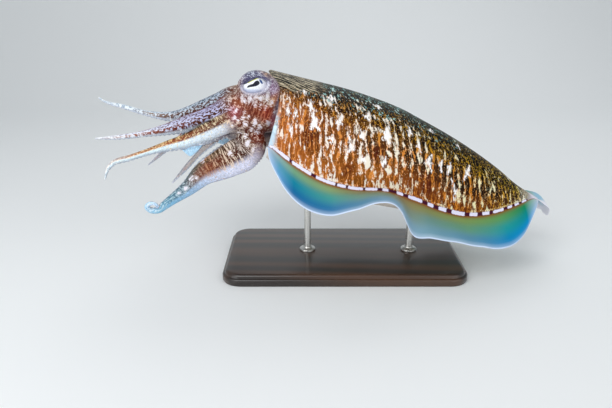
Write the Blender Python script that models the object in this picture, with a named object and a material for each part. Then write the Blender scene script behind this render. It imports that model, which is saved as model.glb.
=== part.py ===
"""Pharaoh cuttlefish, an adult male at life size, hovering on a plain display stand.

The animal is designed lying level in its own frame: x runs from the front edge of the mantle back to
the tail, y to its right, z up through the back. One pitch then lowers the tail and lifts the whole
animal over the stand, so that its left side faces -Y and its head points to -X.
"""

import math

import bmesh
import bpy
import numpy as np
from mathutils import Matrix, Vector

GAP = 0.0003  # left between neighbouring pieces
LEFT, RIGHT = -1.0, 1.0  # signs of y

# Pose of the animal over the stand
PITCH = math.radians(17.5)  # tail down
COLLAR_X, COLLAR_Z = -0.071, 0.157  # centre of the mantle's front edge, over the stand's centre

# Mantle: share of its length, half width, heights of back, fin line and belly
MANTLE_LENGTH = 0.289
MANTLE_STATIONS = (
    (0.00, 0.0500, 0.0440, -0.0180, -0.0370),
    (0.10, 0.0580, 0.0465, -0.0265, -0.0460),
    (0.20, 0.0620, 0.0485, -0.0325, -0.0510),
    (0.30, 0.0630, 0.0485, -0.0320, -0.0520),
    (0.42, 0.0610, 0.0462, -0.0245, -0.0490),
    (0.50, 0.0570, 0.0420, -0.0250, -0.0465),
    (0.62, 0.0490, 0.0350, -0.0300, -0.0430),
    (0.72, 0.0410, 0.0275, -0.0300, -0.0395),
    (0.82, 0.0310, 0.0182, -0.0215, -0.0300),
    (0.91, 0.0180, 0.0080, -0.0085, -0.0150),
    (0.97, 0.0070, 0.0035, -0.0005, -0.0050),
    (1.00, 0.0022, 0.0014, 0.0000, -0.0016),
)
MANTLE_SIDES = 28
MANTLE_RINGS = 34
SHOULDER = 0.86  # power of the section's curve, below 1 for full shoulders
NUCHAL_REACH, NUCHAL_SPREAD = 0.018, 0.50  # the lobe over the neck: length, and spread in radians
MARGIN_NOTCH = 0.004  # the margin stands back below the funnel
MARGIN_FADE = 0.22  # share of the mantle over which the margin's shape fades
LIP_SCALE, POCKET_SCALE = 0.95, 0.89  # inside of the collar against its outside
POCKET_DEPTH = 0.009

# Fins: share of the mantle's length at the root, then the edge's reach back, out and up from there,
# and how far the fin's middle stands above its chord, against its width
FIN_THICK_ROOT, FIN_THICK_EDGE = 0.0030, 0.0012
FIN_SPAN_STEPS = 6
FIN_ROOT_BLEND = 0.35  # share of the span over which the fin turns from the mantle's side to its own lie
FIN_LEFT_STATIONS = (
    (0.012, -0.002, 0.007, -0.0040, 0.10),
    (0.050, 0.003, 0.016, -0.0160, 0.10),
    (0.095, 0.006, 0.020, -0.0235, 0.10),
    (0.150, 0.009, 0.023, -0.0250, 0.12),
    (0.220, 0.010, 0.025, -0.0195, 0.12),
    (0.290, 0.008, 0.030, -0.0065, 0.10),
    (0.345, 0.006, 0.034, 0.0025, 0.08),
    (0.395, 0.004, 0.035, 0.0035, 0.08),
    (0.440, 0.005, 0.033, -0.0040, 0.10),
    (0.495, 0.010, 0.026, -0.0250, 0.10),
    (0.560, 0.011, 0.024, -0.0220, 0.12),
    (0.640, 0.013, 0.024, -0.0180, 0.12),
    (0.730, 0.016, 0.025, -0.0180, 0.12),
    (0.810, 0.017, 0.025, -0.0225, 0.12),
    (0.880, 0.014, 0.023, -0.0230, 0.12),
    (0.935, 0.008, 0.018, -0.0165, 0.10),
    (0.970, 0.004, 0.010, -0.0050, 0.10),
)
FIN_RIGHT_STATIONS = (
    (0.012, -0.002, 0.007, -0.0040, 0.10),
    (0.050, 0.003, 0.016, -0.0140, 0.10),
    (0.110, 0.006, 0.024, -0.0200, 0.10),
    (0.180, 0.008, 0.025, -0.0220, 0.12),
    (0.260, 0.006, 0.023, -0.0250, 0.12),
    (0.340, 0.004, 0.022, -0.0270, 0.12),
    (0.420, 0.006, 0.025, -0.0240, 0.12),
    (0.500, 0.009, 0.031, -0.0120, 0.10),
    (0.580, 0.011, 0.033, -0.0060, 0.10),
    (0.660, 0.012, 0.030, -0.0130, 0.10),
    (0.740, 0.013, 0.026, -0.0200, 0.12),
    (0.820, 0.017, 0.025, -0.0220, 0.14),
    (0.880, 0.026, 0.024, -0.0190, 0.20),
    (0.935, 0.037, 0.016, -0.0170, 0.30),
    (0.970, 0.033, 0.010, -0.0120, 0.30),
)
FIN_CUTS = (0.34, 0.66)  # shares of the mantle's length where each fin is parted

# Head: distance back from the collar's plane, half width, heights of top and underside
HEAD_STATIONS = (
    (0.0085, 0.034, 0.029, -0.011),
    (0.0000, 0.037, 0.032, -0.013),
    (-0.0060, 0.043, 0.034, -0.017),
    (-0.0160, 0.047, 0.0355, -0.023),
    (-0.0280, 0.044, 0.035, -0.029),
    (-0.0390, 0.035, 0.026, -0.033),
    (-0.0460, 0.026, 0.015, -0.031),
    (-0.0520, 0.015, 0.005, -0.025),
)
HEAD_SIDES = 24
HEAD_SHOULDER = 0.74  # power of the head's section, fuller than the mantle's
HEAD_RINGS = 11
HEAD_TWIST = math.radians(-9)  # the head is turned about the body's axis, its left side up
HEAD_TWIST_LENGTH = 0.022  # length of neck over which the twist comes in

# Eyes, in the head's own frame: centre with y outwards, radius, lid opening, swelling that holds it
EYE_CENTRE = (-0.0266, 0.0370, 0.0255)
EYE_RADIUS = 0.0135
EYE_OPENING = (0.0115, 0.0066)  # half length and half height between the lids
EYE_TILT = math.radians(28)  # the opening's long axis rises towards the tail by this
EYE_BULGE_CENTRE = (-0.0250, 0.0350, 0.0245)
EYE_BULGE_RADII = (0.0190, 0.0180, 0.0170)
LID_THICK = 0.0016

# Mouth and funnel
MOUTH_RADIUS, MOUTH_LENGTH, MOUTH_LAPPETS = 0.0122, 0.013, 7
MOUTH_HEIGHT = -0.010
FUNNEL_STATIONS = (  # distance back, height of the axis, half width, half height
    (0.0085, -0.0200, 0.0140, 0.0070),
    (0.0000, -0.0235, 0.0140, 0.0075),
    (-0.0120, -0.0315, 0.0125, 0.0075),
    (-0.0260, -0.0425, 0.0100, 0.0070),
    (-0.0380, -0.0510, 0.0080, 0.0060),
)
FUNNEL_WALL, FUNNEL_BORE_DEPTH = 0.0020, 0.010
FUNNEL_SIDES = 14

# Arms: points of the centreline (back, outwards, up), first one sunk in the head
ARM_LINES = {
    ("left", 1): (
        (-0.026, 0.009, 0.0170),
        (-0.044, 0.0125, 0.0125),
        (-0.064, 0.020, -0.0010),
        (-0.080, 0.023, -0.0145),
        (-0.0975, 0.025, -0.0228),
        (-0.1165, 0.026, -0.0263),
        (-0.141, 0.027, -0.0267),
        (-0.162, 0.028, -0.0266),
        (-0.166, 0.028, -0.0252),
    ),
    ("left", 2): (
        (-0.026, 0.025, 0.0140),
        (-0.043, 0.029, 0.0060),
        (-0.0565, 0.033, -0.0045),
        (-0.0765, 0.037, -0.0195),
        (-0.097, 0.040, -0.0325),
        (-0.114, 0.041, -0.0420),
        (-0.1355, 0.043, -0.0520),
        (-0.1575, 0.044, -0.0605),
    ),
    ("left", 3): (
        (-0.022, 0.030, 0.0040),
        (-0.039, 0.035, -0.0075),
        (-0.052, 0.040, -0.0180),
        (-0.064, 0.044, -0.0275),
        (-0.076, 0.046, -0.0365),
        (-0.092, 0.048, -0.0465),
        (-0.104, 0.050, -0.0545),
        (-0.1205, 0.052, -0.0660),
        (-0.135, 0.053, -0.0765),
        (-0.138, 0.054, -0.0840),
        (-0.138, 0.055, -0.0940),
    ),
    ("left", 4): (
        (-0.0145, 0.033, -0.0150),
        (-0.0175, 0.038, -0.0310),
        (-0.0275, 0.042, -0.0410),
        (-0.0375, 0.045, -0.0500),
        (-0.0495, 0.048, -0.0612),
        (-0.061, 0.050, -0.0800),
        (-0.077, 0.051, -0.0995),
        (-0.0865, 0.052, -0.1090),
        (-0.0935, 0.052, -0.1110),
        (-0.0965, 0.052, -0.1065),
        (-0.0925, 0.052, -0.1025),
        (-0.0880, 0.052, -0.1035),
    ),
    ("right", 1): (
        (-0.026, 0.009, 0.0160),
        (-0.044, 0.0135, 0.0090),
        (-0.064, 0.020, -0.0095),
        (-0.088, 0.024, -0.0330),
        (-0.114, 0.028, -0.0560),
        (-0.138, 0.030, -0.0710),
        (-0.158, 0.031, -0.0790),
    ),
    ("right", 2): (
        (-0.026, 0.025, 0.0100),
        (-0.042, 0.029, 0.0010),
        (-0.056, 0.038, -0.0140),
        (-0.0735, 0.043, -0.0360),
        (-0.092, 0.046, -0.0610),
        (-0.108, 0.047, -0.0850),
        (-0.120, 0.046, -0.1040),
    ),
    ("right", 3): (
        (-0.022, 0.029, -0.0010),
        (-0.037, 0.035, -0.0150),
        (-0.047, 0.044, -0.0330),
        (-0.060, 0.050, -0.0560),
        (-0.072, 0.053, -0.0800),
        (-0.082, 0.053, -0.1010),
        (-0.090, 0.050, -0.1180),
    ),
    ("right", 4): (
        (-0.0145, 0.031, -0.0180),
        (-0.0190, 0.036, -0.0350),
        (-0.025, 0.042, -0.0520),
        (-0.035, 0.046, -0.0700),
        (-0.045, 0.048, -0.0890),
        (-0.055, 0.048, -0.1070),
        (-0.065, 0.045, -0.1210),
    ),
}
# Share of the arm's length, half width across the suckered face, half thickness
ARM_GIRTHS = {
    1: (
        (0.00, 0.0125, 0.0100),
        (0.14, 0.0102, 0.0085),
        (0.25, 0.0072, 0.0062),
        (0.42, 0.0064, 0.0058),
        (0.55, 0.0038, 0.0034),
        (0.68, 0.0022, 0.0019),
        (0.88, 0.0015, 0.0013),
        (1.00, 0.0004, 0.0004),
    ),
    2: (
        (0.00, 0.0135, 0.0110),
        (0.14, 0.0105, 0.0088),
        (0.25, 0.0074, 0.0062),
        (0.42, 0.0064, 0.0056),
        (0.56, 0.0042, 0.0036),
        (0.70, 0.0024, 0.0020),
        (0.88, 0.0016, 0.0014),
        (1.00, 0.0004, 0.0004),
    ),
    3: (
        (0.00, 0.0140, 0.0115),
        (0.18, 0.0102, 0.0084),
        (0.34, 0.0074, 0.0058),
        (0.50, 0.0048, 0.0038),
        (0.64, 0.0028, 0.0022),
        (0.86, 0.0021, 0.0018),
        (1.00, 0.0005, 0.0005),
    ),
    4: (
        (0.00, 0.0130, 0.0080),
        (0.12, 0.0170, 0.0085),
        (0.28, 0.0148, 0.0075),
        (0.44, 0.0106, 0.0060),
        (0.58, 0.0080, 0.0048),
        (0.72, 0.0046, 0.0034),
        (0.82, 0.0027, 0.0022),
        (1.00, 0.0006, 0.0006),
    ),
}
# Direction of the suckered face (back, inwards, up)
ARM_ORAL = {1: (0, 0.35, -1.0), 2: (0, 0.60, -0.8), 3: (0, 0.80, -0.6), 4: (0, 1.0, 0.25)}
ARM_STUB = {1: 0.25, 2: 0.29, 3: 0.26, 4: 0.22}  # share of each arm that is one with the head
ARM_PART = 0.56  # share where an arm is parted into its near and far length
ARM_SIDES = 8
ARM_RING_STEP = 0.0065
ARM_RING_STEP_TIP = 0.0045
ARM_RING_STEP_CURL = 0.0022  # from this share of the arm on, where the tip curls
ARM_CURL = {3: 0.86, 4: 0.84}
ARM_FACE_FLAT = 0.75  # the suckered face is this much flatter than the outer one
SUCKERS_A_ROW = 10
SUCKER_SIDES = 6
SUCKER_OFF_MIDDLE = 0.42  # how far each of the two rows stands from the middle of the face, against its half width
SUCKER_RADIUS = 0.37  # against the face's half width
SUCKER_LEAST = 0.0005
SUCKER_ROOT, SUCKER_HEIGHT, SUCKER_HOLLOW = 0.60, 0.50, 0.45  # depth of root, rim's height and hollow, in radii
ARM_SAMPLES = 400

# Stand
BASE_LENGTH, BASE_WIDTH, BASE_THICK = 0.250, 0.130, 0.012
BASE_CORNER, BASE_BEVEL = 0.020, 0.0020
ROD_X = (-0.038, 0.072)
ROD_RADIUS, ROD_SIDES = 0.0035, 16
ROD_FOOT_RADIUS, ROD_FOOT_HEIGHT = 0.0085, 0.0030
ROD_SINK = 0.010  # how deep a rod goes into the belly

SHARP = math.radians(35)

animal_to_world = Matrix.Translation((COLLAR_X, 0, COLLAR_Z)) @ Matrix.Rotation(PITCH, 4, "Y")


def through(stations, at):
    """Values at one place on the smooth curve through rows whose first number is the place."""
    rows = np.array(stations, float)
    places, values = rows[:, 0], rows[:, 1:]
    if places[0] > places[-1]:
        places, values = places[::-1], values[::-1]
    slopes = np.gradient(values, places, axis=0)
    i = int(np.clip(np.searchsorted(places, at) - 1, 0, len(places) - 2))
    width = places[i + 1] - places[i]
    t = min(max((at - places[i]) / width, 0.0), 1.0)
    return (
        values[i] * (1 + 2 * t) * (1 - t) ** 2
        + slopes[i] * width * t * (1 - t) ** 2
        + values[i + 1] * t * t * (3 - 2 * t)
        + slopes[i + 1] * width * t * t * (t - 1)
    )


def power(value, exponent):
    """Signed power, for a section that is fuller than an ellipse."""
    return math.copysign(abs(value) ** exponent, value)


# Meshes and materials


def clear_scene():
    for obj in list(bpy.data.objects):
        bpy.data.objects.remove(obj)


def material(name, colour, roughness, metallic=0.0):
    found = bpy.data.materials.get(name)
    if found:
        return found
    made = bpy.data.materials.new(name)
    made.use_nodes = True
    shader = made.node_tree.nodes["Principled BSDF"]
    shader.inputs["Base Color"].default_value = (*colour, 1.0)
    shader.inputs["Roughness"].default_value = roughness
    shader.inputs["Metallic"].default_value = metallic
    return made


def finish(name, bm, surface=None, posed=True):
    """One closed mesh object, its faces pointing out, moved from the animal's frame to the world's."""
    bmesh.ops.recalc_face_normals(bm, faces=bm.faces)
    if bm.calc_volume(signed=True) < 0:
        bmesh.ops.reverse_faces(bm, faces=bm.faces)
    mesh = bpy.data.meshes.new(name)
    bm.to_mesh(mesh)
    bm.free()
    if posed:
        mesh.transform(animal_to_world)
    mesh.shade_smooth()
    mesh.set_sharp_from_angle(angle=SHARP)
    obj = bpy.data.objects.new(name, mesh)
    bpy.context.scene.collection.objects.link(obj)
    if surface:
        mesh.materials.append(surface)
    return obj


def loft(rings):
    """A closed skin over rings of equally many points, with a fan of triangles on each end."""
    bm = bmesh.new()
    rows = [[bm.verts.new(point) for point in ring] for ring in rings]
    for near, far in zip(rows, rows[1:]):
        for i in range(len(near)):
            j = (i + 1) % len(near)
            bm.faces.new((near[i], near[j], far[j], far[i]))
    for row in (rows[0], rows[-1]):
        centre = bm.verts.new(sum((v.co for v in row), Vector()) / len(row))
        for i in range(len(row)):
            bm.faces.new((row[i], row[(i + 1) % len(row)], centre))
    return bm


def join(obj, others, operation):
    """Unites obj with the others, or cuts them out of it, removes them and keeps the largest shell."""
    group = bpy.data.collections.new("pieces")
    bpy.context.scene.collection.children.link(group)
    for other in others:
        bpy.context.scene.collection.objects.unlink(other)
        group.objects.link(other)
    modifier = obj.modifiers.new("join", "BOOLEAN")
    modifier.operation = operation
    modifier.operand_type = "COLLECTION"
    modifier.collection = group
    modifier.solver = "MANIFOLD"
    graph = bpy.context.evaluated_depsgraph_get()
    joined = bpy.data.meshes.new_from_object(obj.evaluated_get(graph))
    obj.modifiers.clear()
    obj.data = joined
    for other in others:
        bpy.data.objects.remove(other)
    bpy.data.collections.remove(group)
    keep_largest_shell(joined)
    joined.shade_smooth()
    joined.set_sharp_from_angle(angle=SHARP)
    return obj


def keep_largest_shell(mesh):
    bm = bmesh.new()
    bm.from_mesh(mesh)
    left, shells = set(bm.verts), []
    while left:
        shell, edge = set(), [left.pop()]
        while edge:
            vert = edge.pop()
            shell.add(vert)
            for link in vert.link_edges:
                other = link.other_vert(vert)
                if other in left:
                    left.discard(other)
                    edge.append(other)
        shells.append(shell)
    shells.sort(key=len, reverse=True)
    for shell in shells[1:]:
        bmesh.ops.delete(bm, geom=list(shell), context="VERTS")
    bm.to_mesh(mesh)
    bm.free()


# Mantle


def mantle_point(share, turn, scale=1.0, back=0.0):
    """A point of the mantle's skin. turn goes from the back (0) by the left fin line to the belly (pi)."""
    half_width, top, fin_line, belly = through(MANTLE_STATIONS, share)
    rise, side = math.cos(turn), math.sin(turn)
    height = (top - fin_line) if rise > 0 else (fin_line - belly)
    z = fin_line + height * power(rise, SHOULDER)
    y = LEFT * half_width * power(side, SHOULDER)
    from_back = abs((turn + math.pi) % (2 * math.pi) - math.pi)
    margin = MARGIN_NOTCH * (1 - rise) / 2 - NUCHAL_REACH * math.exp(-((from_back / NUCHAL_SPREAD) ** 2))
    fade = max(0.0, 1 - share / MARGIN_FADE) ** 2
    middle = (top + belly) / 2
    return Vector(
        (MANTLE_LENGTH * share + margin * fade + back, y * scale, middle + (z - middle) * scale)
    )


def mantle_turns():
    return [2 * math.pi * i / MANTLE_SIDES for i in range(MANTLE_SIDES)]


def mantle_shares():
    """Shares of the length where the mantle has a ring, closer together towards the tail."""
    return [1 - (1 - i / (MANTLE_RINGS - 1)) ** 1.15 for i in range(MANTLE_RINGS)]


def mantle():
    turns = mantle_turns()
    floor = [
        Vector((POCKET_DEPTH, *mantle_point(0, turn, POCKET_SCALE).yz)) for turn in turns
    ]
    lip = [mantle_point(0, turn, LIP_SCALE) for turn in turns]
    throat = [mantle_point(0, turn, POCKET_SCALE, back=0.003) for turn in turns]
    outside = [[mantle_point(share, turn) for turn in turns] for share in mantle_shares()]
    skin = material("mantle_skin", (0.42, 0.22, 0.10), 0.45)
    body = finish("mantle", loft([floor, throat, lip, *outside]), skin)
    return join(body, [rod_cutter(x) for x in ROD_X], "DIFFERENCE")


# Fins


def fin_point(stations, side, share, out, thick):
    """A point of a fin: out runs from 0 at the root to 1 at the edge, thick is -1 below and 1 above."""
    turn = math.pi / 2 if side == LEFT else 3 * math.pi / 2
    root = mantle_point(share, turn)
    back, reach, rise, bow = through(stations, share)
    chord = Vector((back, side * reach, rise))
    normal = Vector((0, -side * chord.z, side * chord.y)).normalized()
    upright = Vector((0, 0, 1)).lerp(normal, min(out / FIN_ROOT_BLEND, 1.0)).normalized()
    half = (FIN_THICK_ROOT + (FIN_THICK_EDGE - FIN_THICK_ROOT) * out) / 2
    swell = normal * (bow * chord.length * math.sin(math.pi * out))
    clear = Vector((0, side * GAP, 0))
    return root + clear + chord * out + swell + upright * (thick * half)


def fin_piece(name, stations, side, shares):
    bm = bmesh.new()
    steps = range(FIN_SPAN_STEPS + 1)
    faces = {
        thick: [
            [bm.verts.new(fin_point(stations, side, share, k / FIN_SPAN_STEPS, thick)) for k in steps]
            for share in shares
        ]
        for thick in (-1, 1)
    }
    under, over = faces[-1], faces[1]
    for grid in (under, over):
        for a, b in zip(grid, grid[1:]):
            for k in steps[:-1]:
                bm.faces.new((a[k], a[k + 1], b[k + 1]))
                bm.faces.new((a[k], b[k + 1], b[k]))
    for i in range(len(shares) - 1):
        for k in (0, FIN_SPAN_STEPS):
            bm.faces.new((under[i][k], under[i + 1][k], over[i + 1][k], over[i][k]))
    for i in (0, -1):
        for k in steps[:-1]:
            bm.faces.new((under[i][k], under[i][k + 1], over[i][k + 1], over[i][k]))
    return finish(name, bm, material("fin_skin", (0.30, 0.52, 0.55), 0.35))


def fin(side_name, side, stations):
    """Three lengths of one fin, parted by thin cuts. Each root follows the mantle's own rings."""
    cut = GAP / 2 / MANTLE_LENGTH
    ends = [stations[0][0], *FIN_CUTS, stations[-1][0]]
    for part, start, end in zip(("front", "middle", "rear"), ends, ends[1:]):
        inner = [s for s in mantle_shares() if start + 0.008 < s < end - 0.008]
        fin_piece(f"fin_{side_name}_{part}", stations, side, [start + cut, *inner, end - cut])


# Arms


def arm_line(key):
    """Evenly spaced points on the smooth centreline, with y signed for the arm's side."""
    side = LEFT if key[0] == "left" else RIGHT
    points = np.array(ARM_LINES[key]) * (1, side, 1)
    steps = np.linalg.norm(np.diff(points, axis=0), axis=1)
    places = np.concatenate([[0], np.cumsum(steps)])
    rows = np.column_stack([places, points])
    fine = np.array([through(rows, p) for p in np.linspace(0, places[-1], ARM_SAMPLES)])
    length = np.concatenate([[0], np.cumsum(np.linalg.norm(np.diff(fine, axis=0), axis=1))])
    even = np.linspace(0, length[-1], ARM_SAMPLES)
    return np.column_stack([np.interp(even, length, fine[:, k]) for k in range(3)]), length[-1]


class Arm:
    """One arm: its centreline with a steady frame, and its girth along it."""

    def __init__(self, key):
        self.side_name, self.number = key
        self.side = LEFT if self.side_name == "left" else RIGHT
        self.points, self.length = arm_line(key)
        tangents = np.gradient(self.points, axis=0)
        self.tangents = tangents / np.linalg.norm(tangents, axis=1)[:, None]
        back, inwards, up = ARM_ORAL[self.number]
        oral = np.array((back, -self.side * inwards, up), float)
        self.orals = []
        for tangent in self.tangents:
            oral = oral - tangent * (oral @ tangent)
            oral = oral / np.linalg.norm(oral)
            self.orals.append(oral)

    def frame(self, share):
        """Centre, direction towards the tip, direction of the suckered face and direction across."""
        at = share * (len(self.points) - 1)
        i = min(int(at), len(self.points) - 2)
        t = at - i
        centre = Vector(self.points[i] * (1 - t) + self.points[i + 1] * t)
        along = Vector(self.tangents[i] * (1 - t) + self.tangents[i + 1] * t).normalized()
        oral = Vector(self.orals[i] * (1 - t) + self.orals[i + 1] * t)
        oral = (oral - along * oral.dot(along)).normalized()
        return centre, along, oral, along.cross(oral)

    def ring(self, share):
        centre, _, oral, across = self.frame(share)
        half_width, half_thick = through(ARM_GIRTHS[self.number], share)
        ring = []
        for i in range(ARM_SIDES):
            angle = 2 * math.pi * i / ARM_SIDES
            depth = half_thick * math.sin(angle) * (ARM_FACE_FLAT if math.sin(angle) > 0 else 1)
            ring.append(centre + across * half_width * math.cos(angle) + oral * depth)
        return ring

    def rings(self, start, end):
        """Rings from one share of the length to another, closer together on the thin far part."""
        shares = [start]
        while shares[-1] < end:
            step = ARM_RING_STEP if shares[-1] < ARM_PART else ARM_RING_STEP_TIP
            if shares[-1] > ARM_CURL.get(self.number, 1.0):
                step = ARM_RING_STEP_CURL
            shares.append(shares[-1] + step / self.length)
        while shares[-1] > end - 0.5 * ARM_RING_STEP_CURL / self.length:
            shares.pop()
        return [self.ring(share) for share in (*shares, end)]


    def sucker_places(self):
        """Shares of the length at which the two rows have their suckers in turn, closer as the arm thins."""
        shares = np.linspace(ARM_STUB[self.number], 1.0, 200)
        widths = np.array([through(ARM_GIRTHS[self.number], share)[0] for share in shares])
        crowding = np.concatenate([[0], np.cumsum(1 / widths[1:] ** 0.4)])
        count = 2 * SUCKERS_A_ROW
        return np.interp((np.arange(count) + 0.7) / (count + 0.4) * crowding[-1], crowding, shares)

    def sucker(self, share, row):
        """A low cup with a hollow, standing on the suckered face with its root sunk in."""
        centre, along, oral, across = self.frame(share)
        half_width, half_thick = through(ARM_GIRTHS[self.number], share).tolist()
        radius = max(SUCKER_RADIUS * half_width, SUCKER_LEAST)
        depth = half_thick * ARM_FACE_FLAT
        ridge, shoulder = Vector((0, depth)), Vector((half_width, depth)) * math.sqrt(0.5)
        place = ridge.lerp(shoulder, SUCKER_OFF_MIDDLE / math.sqrt(0.5))
        out = Vector((ridge.y - shoulder.y, shoulder.x)).normalized()
        normal = across * (row * out.x) + oral * out.y
        foot = centre + across * (row * place.x) + oral * place.y
        sideways = normal.cross(along)
        bm = bmesh.new()
        rows = []
        for reach, height in ((0.7, -SUCKER_ROOT), (1.0, SUCKER_HEIGHT)):
            turns = (2 * math.pi * i / SUCKER_SIDES for i in range(SUCKER_SIDES))
            rim = (along * math.cos(a) + sideways * math.sin(a) for a in turns)
            rows.append([bm.verts.new(foot + radius * (reach * r + height * normal)) for r in rim])
        root = bm.verts.new(foot - radius * SUCKER_ROOT * normal)
        hollow = bm.verts.new(foot + radius * (SUCKER_HEIGHT - SUCKER_HOLLOW) * normal)
        for i in range(SUCKER_SIDES):
            j = (i + 1) % SUCKER_SIDES
            bm.faces.new((rows[0][i], rows[0][j], rows[1][j], rows[1][i]))
            bm.faces.new((rows[0][j], rows[0][i], root))
            bm.faces.new((rows[1][i], rows[1][j], hollow))
        return bm


def arm_lengths(arm):
    """The near and the far length of an arm, parted by thin cuts, each with its share of the suckers."""
    cut = GAP / arm.length
    name = f"arm_{arm.side_name}_{arm.number}"
    skin = material("arm_skin", (0.55, 0.34, 0.26), 0.45)
    rows = [(share, -1 if i % 2 else 1) for i, share in enumerate(arm.sucker_places())]
    for length, start, end in (
        ("near", ARM_STUB[arm.number] + cut, ARM_PART),
        ("far", ARM_PART + cut, 1.0),
    ):
        body = finish(f"{name}_{length}", loft(arm.rings(start, end)), skin)
        cups = []
        for share, row in rows:
            room = SUCKER_RADIUS * through(ARM_GIRTHS[arm.number], share)[0] / arm.length
            if start + room < share < end - (room if length == "near" else 0):
                cups.append(finish("sucker", arm.sucker(share, row)))
        join(body, cups, "UNION")


# Head


def twist_at(back):
    """How far the head is turned about the body's axis at this distance back."""
    start = HEAD_STATIONS[0][0]
    t = min(max((start - back) / HEAD_TWIST_LENGTH, 0.0), 1.0)
    return Matrix.Rotation(HEAD_TWIST * t * t * (3 - 2 * t), 4, "X")


def head_ring(back):
    half_width, top, bottom = through(HEAD_STATIONS, back)
    middle, half_height = (top + bottom) / 2, (top - bottom) / 2
    ring = []
    for i in range(HEAD_SIDES):
        a = 2 * math.pi * i / HEAD_SIDES
        y = half_width * power(math.sin(a), HEAD_SHOULDER)
        z = middle + half_height * power(math.cos(a), HEAD_SHOULDER)
        ring.append(twist_at(back) @ Vector((back, y, z)))
    return ring


def head_frame(bm):
    """Turns a piece made in the head's own frame by the whole twist."""
    bmesh.ops.transform(bm, matrix=Matrix.Rotation(HEAD_TWIST, 4, "X"), verts=bm.verts)
    return bm


def ball(side, centre, radii, rings, sides):
    """An ellipsoid in the head's frame, its poles outwards and inwards."""
    bm = bmesh.new()
    bmesh.ops.create_uvsphere(bm, u_segments=sides, v_segments=rings, radius=1.0)
    bmesh.ops.rotate(bm, matrix=Matrix.Rotation(math.pi / 2, 3, "X"), verts=bm.verts)
    bmesh.ops.scale(bm, vec=radii, verts=bm.verts)
    bmesh.ops.translate(bm, vec=(centre[0], side * centre[1], centre[2]), verts=bm.verts)
    return head_frame(bm)


def round_the_eye(half_length, half_height, angle):
    """Place of a point of the lids' oval, distance back and height."""
    along, across = half_length * math.cos(angle), half_height * math.sin(angle)
    return (
        EYE_CENTRE[0] + along * math.cos(EYE_TILT) - across * math.sin(EYE_TILT),
        EYE_CENTRE[2] + along * math.sin(EYE_TILT) + across * math.cos(EYE_TILT),
    )


def opening_plug(side, sides=20):
    """An oval plug through the skin in front of the eye, which cuts the opening between the lids."""
    rings = []
    for depth in (EYE_RADIUS * 0.5, EYE_RADIUS * 2):
        places = [round_the_eye(*EYE_OPENING, 2 * math.pi * i / sides) for i in range(sides)]
        rings.append([Vector((x, side * (EYE_CENTRE[1] + depth), z)) for x, z in places])
    return head_frame(loft(rings))


def lid_fold(side, sides=20, tube_sides=6):
    """The raised rim of skin round the opening, lying on the swelling that holds the eye."""
    bm = bmesh.new()
    rows = []
    for i in range(sides):
        a = 2 * math.pi * i / sides
        x, z = round_the_eye(EYE_OPENING[0] + LID_THICK, EYE_OPENING[1] + LID_THICK, a)
        inside = [((v - c) / r) ** 2 for v, c, r in zip((x, z), EYE_BULGE_CENTRE[::2], EYE_BULGE_RADII[::2])]
        y = EYE_BULGE_CENTRE[1] + EYE_BULGE_RADII[1] * math.sqrt(1 - sum(inside))
        away = Vector((x - EYE_CENTRE[0], 0, z - EYE_CENTRE[2])).normalized()
        row = []
        for k in range(tube_sides):
            b = 2 * math.pi * k / tube_sides
            swing = away * math.cos(b) + Vector((0, side * math.sin(b), 0))
            row.append(bm.verts.new(Vector((x, side * y, z)) + LID_THICK * swing))
        rows.append(row)
    for i in range(sides):
        near, far = rows[i], rows[(i + 1) % sides]
        for k in range(tube_sides):
            m = (k + 1) % tube_sides
            bm.faces.new((near[k], near[m], far[m], far[k]))
    return head_frame(bm)


def head(arms):
    """The head with the roots of its arms, the swellings of its eyes and their lids."""
    places = np.linspace(HEAD_STATIONS[0][0], HEAD_STATIONS[-1][0], HEAD_RINGS)
    rings = [head_ring(back) for back in places]
    body = finish("head", loft(rings), material("head_skin", (0.50, 0.24, 0.18), 0.45))
    pieces = [finish("stub", loft(arm.rings(0.0, ARM_STUB[arm.number]))) for arm in arms]
    for side in (LEFT, RIGHT):
        pieces.append(finish("bulge", ball(side, EYE_BULGE_CENTRE, EYE_BULGE_RADII, 12, 18)))
        pieces.append(finish("lids", lid_fold(side)))
    join(body, pieces, "UNION")
    socket = (EYE_RADIUS + GAP,) * 3
    holes = []
    for side in (LEFT, RIGHT):
        holes.append(finish("socket", ball(side, EYE_CENTRE, socket, 12, 18)))
        holes.append(finish("opening", opening_plug(side)))
    return join(body, holes, "DIFFERENCE")


def eye(side_name, side):
    white = material("eye", (0.85, 0.86, 0.88), 0.15)
    finish(f"eye_{side_name}", ball(side, EYE_CENTRE, (EYE_RADIUS,) * 3, 12, 18), white)


def mouth():
    """The buccal membrane between the arms: a low cone with seven lappets round the closed beak."""
    front = HEAD_STATIONS[-1][0] - GAP
    sides = 3 * MOUTH_LAPPETS
    profile = ((0.0, 1.0), (0.35, 1.05), (0.75, 0.86), (1.0, 0.60), (0.80, 0.38), (1.05, 0.12))
    rings = []
    for forward, reach in profile:
        ring = []
        for i in range(sides):
            a = 2 * math.pi * i / sides
            lobe = 1 + 0.10 * forward * math.cos(MOUTH_LAPPETS * a)
            radius = MOUTH_RADIUS * reach * lobe
            x = front - MOUTH_LENGTH * forward
            ring.append(Vector((x, radius * math.sin(a), MOUTH_HEIGHT + radius * math.cos(a))))
        rings.append(ring)
    finish("mouth", loft(rings), material("mouth_skin", (0.75, 0.60, 0.52), 0.4))


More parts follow.
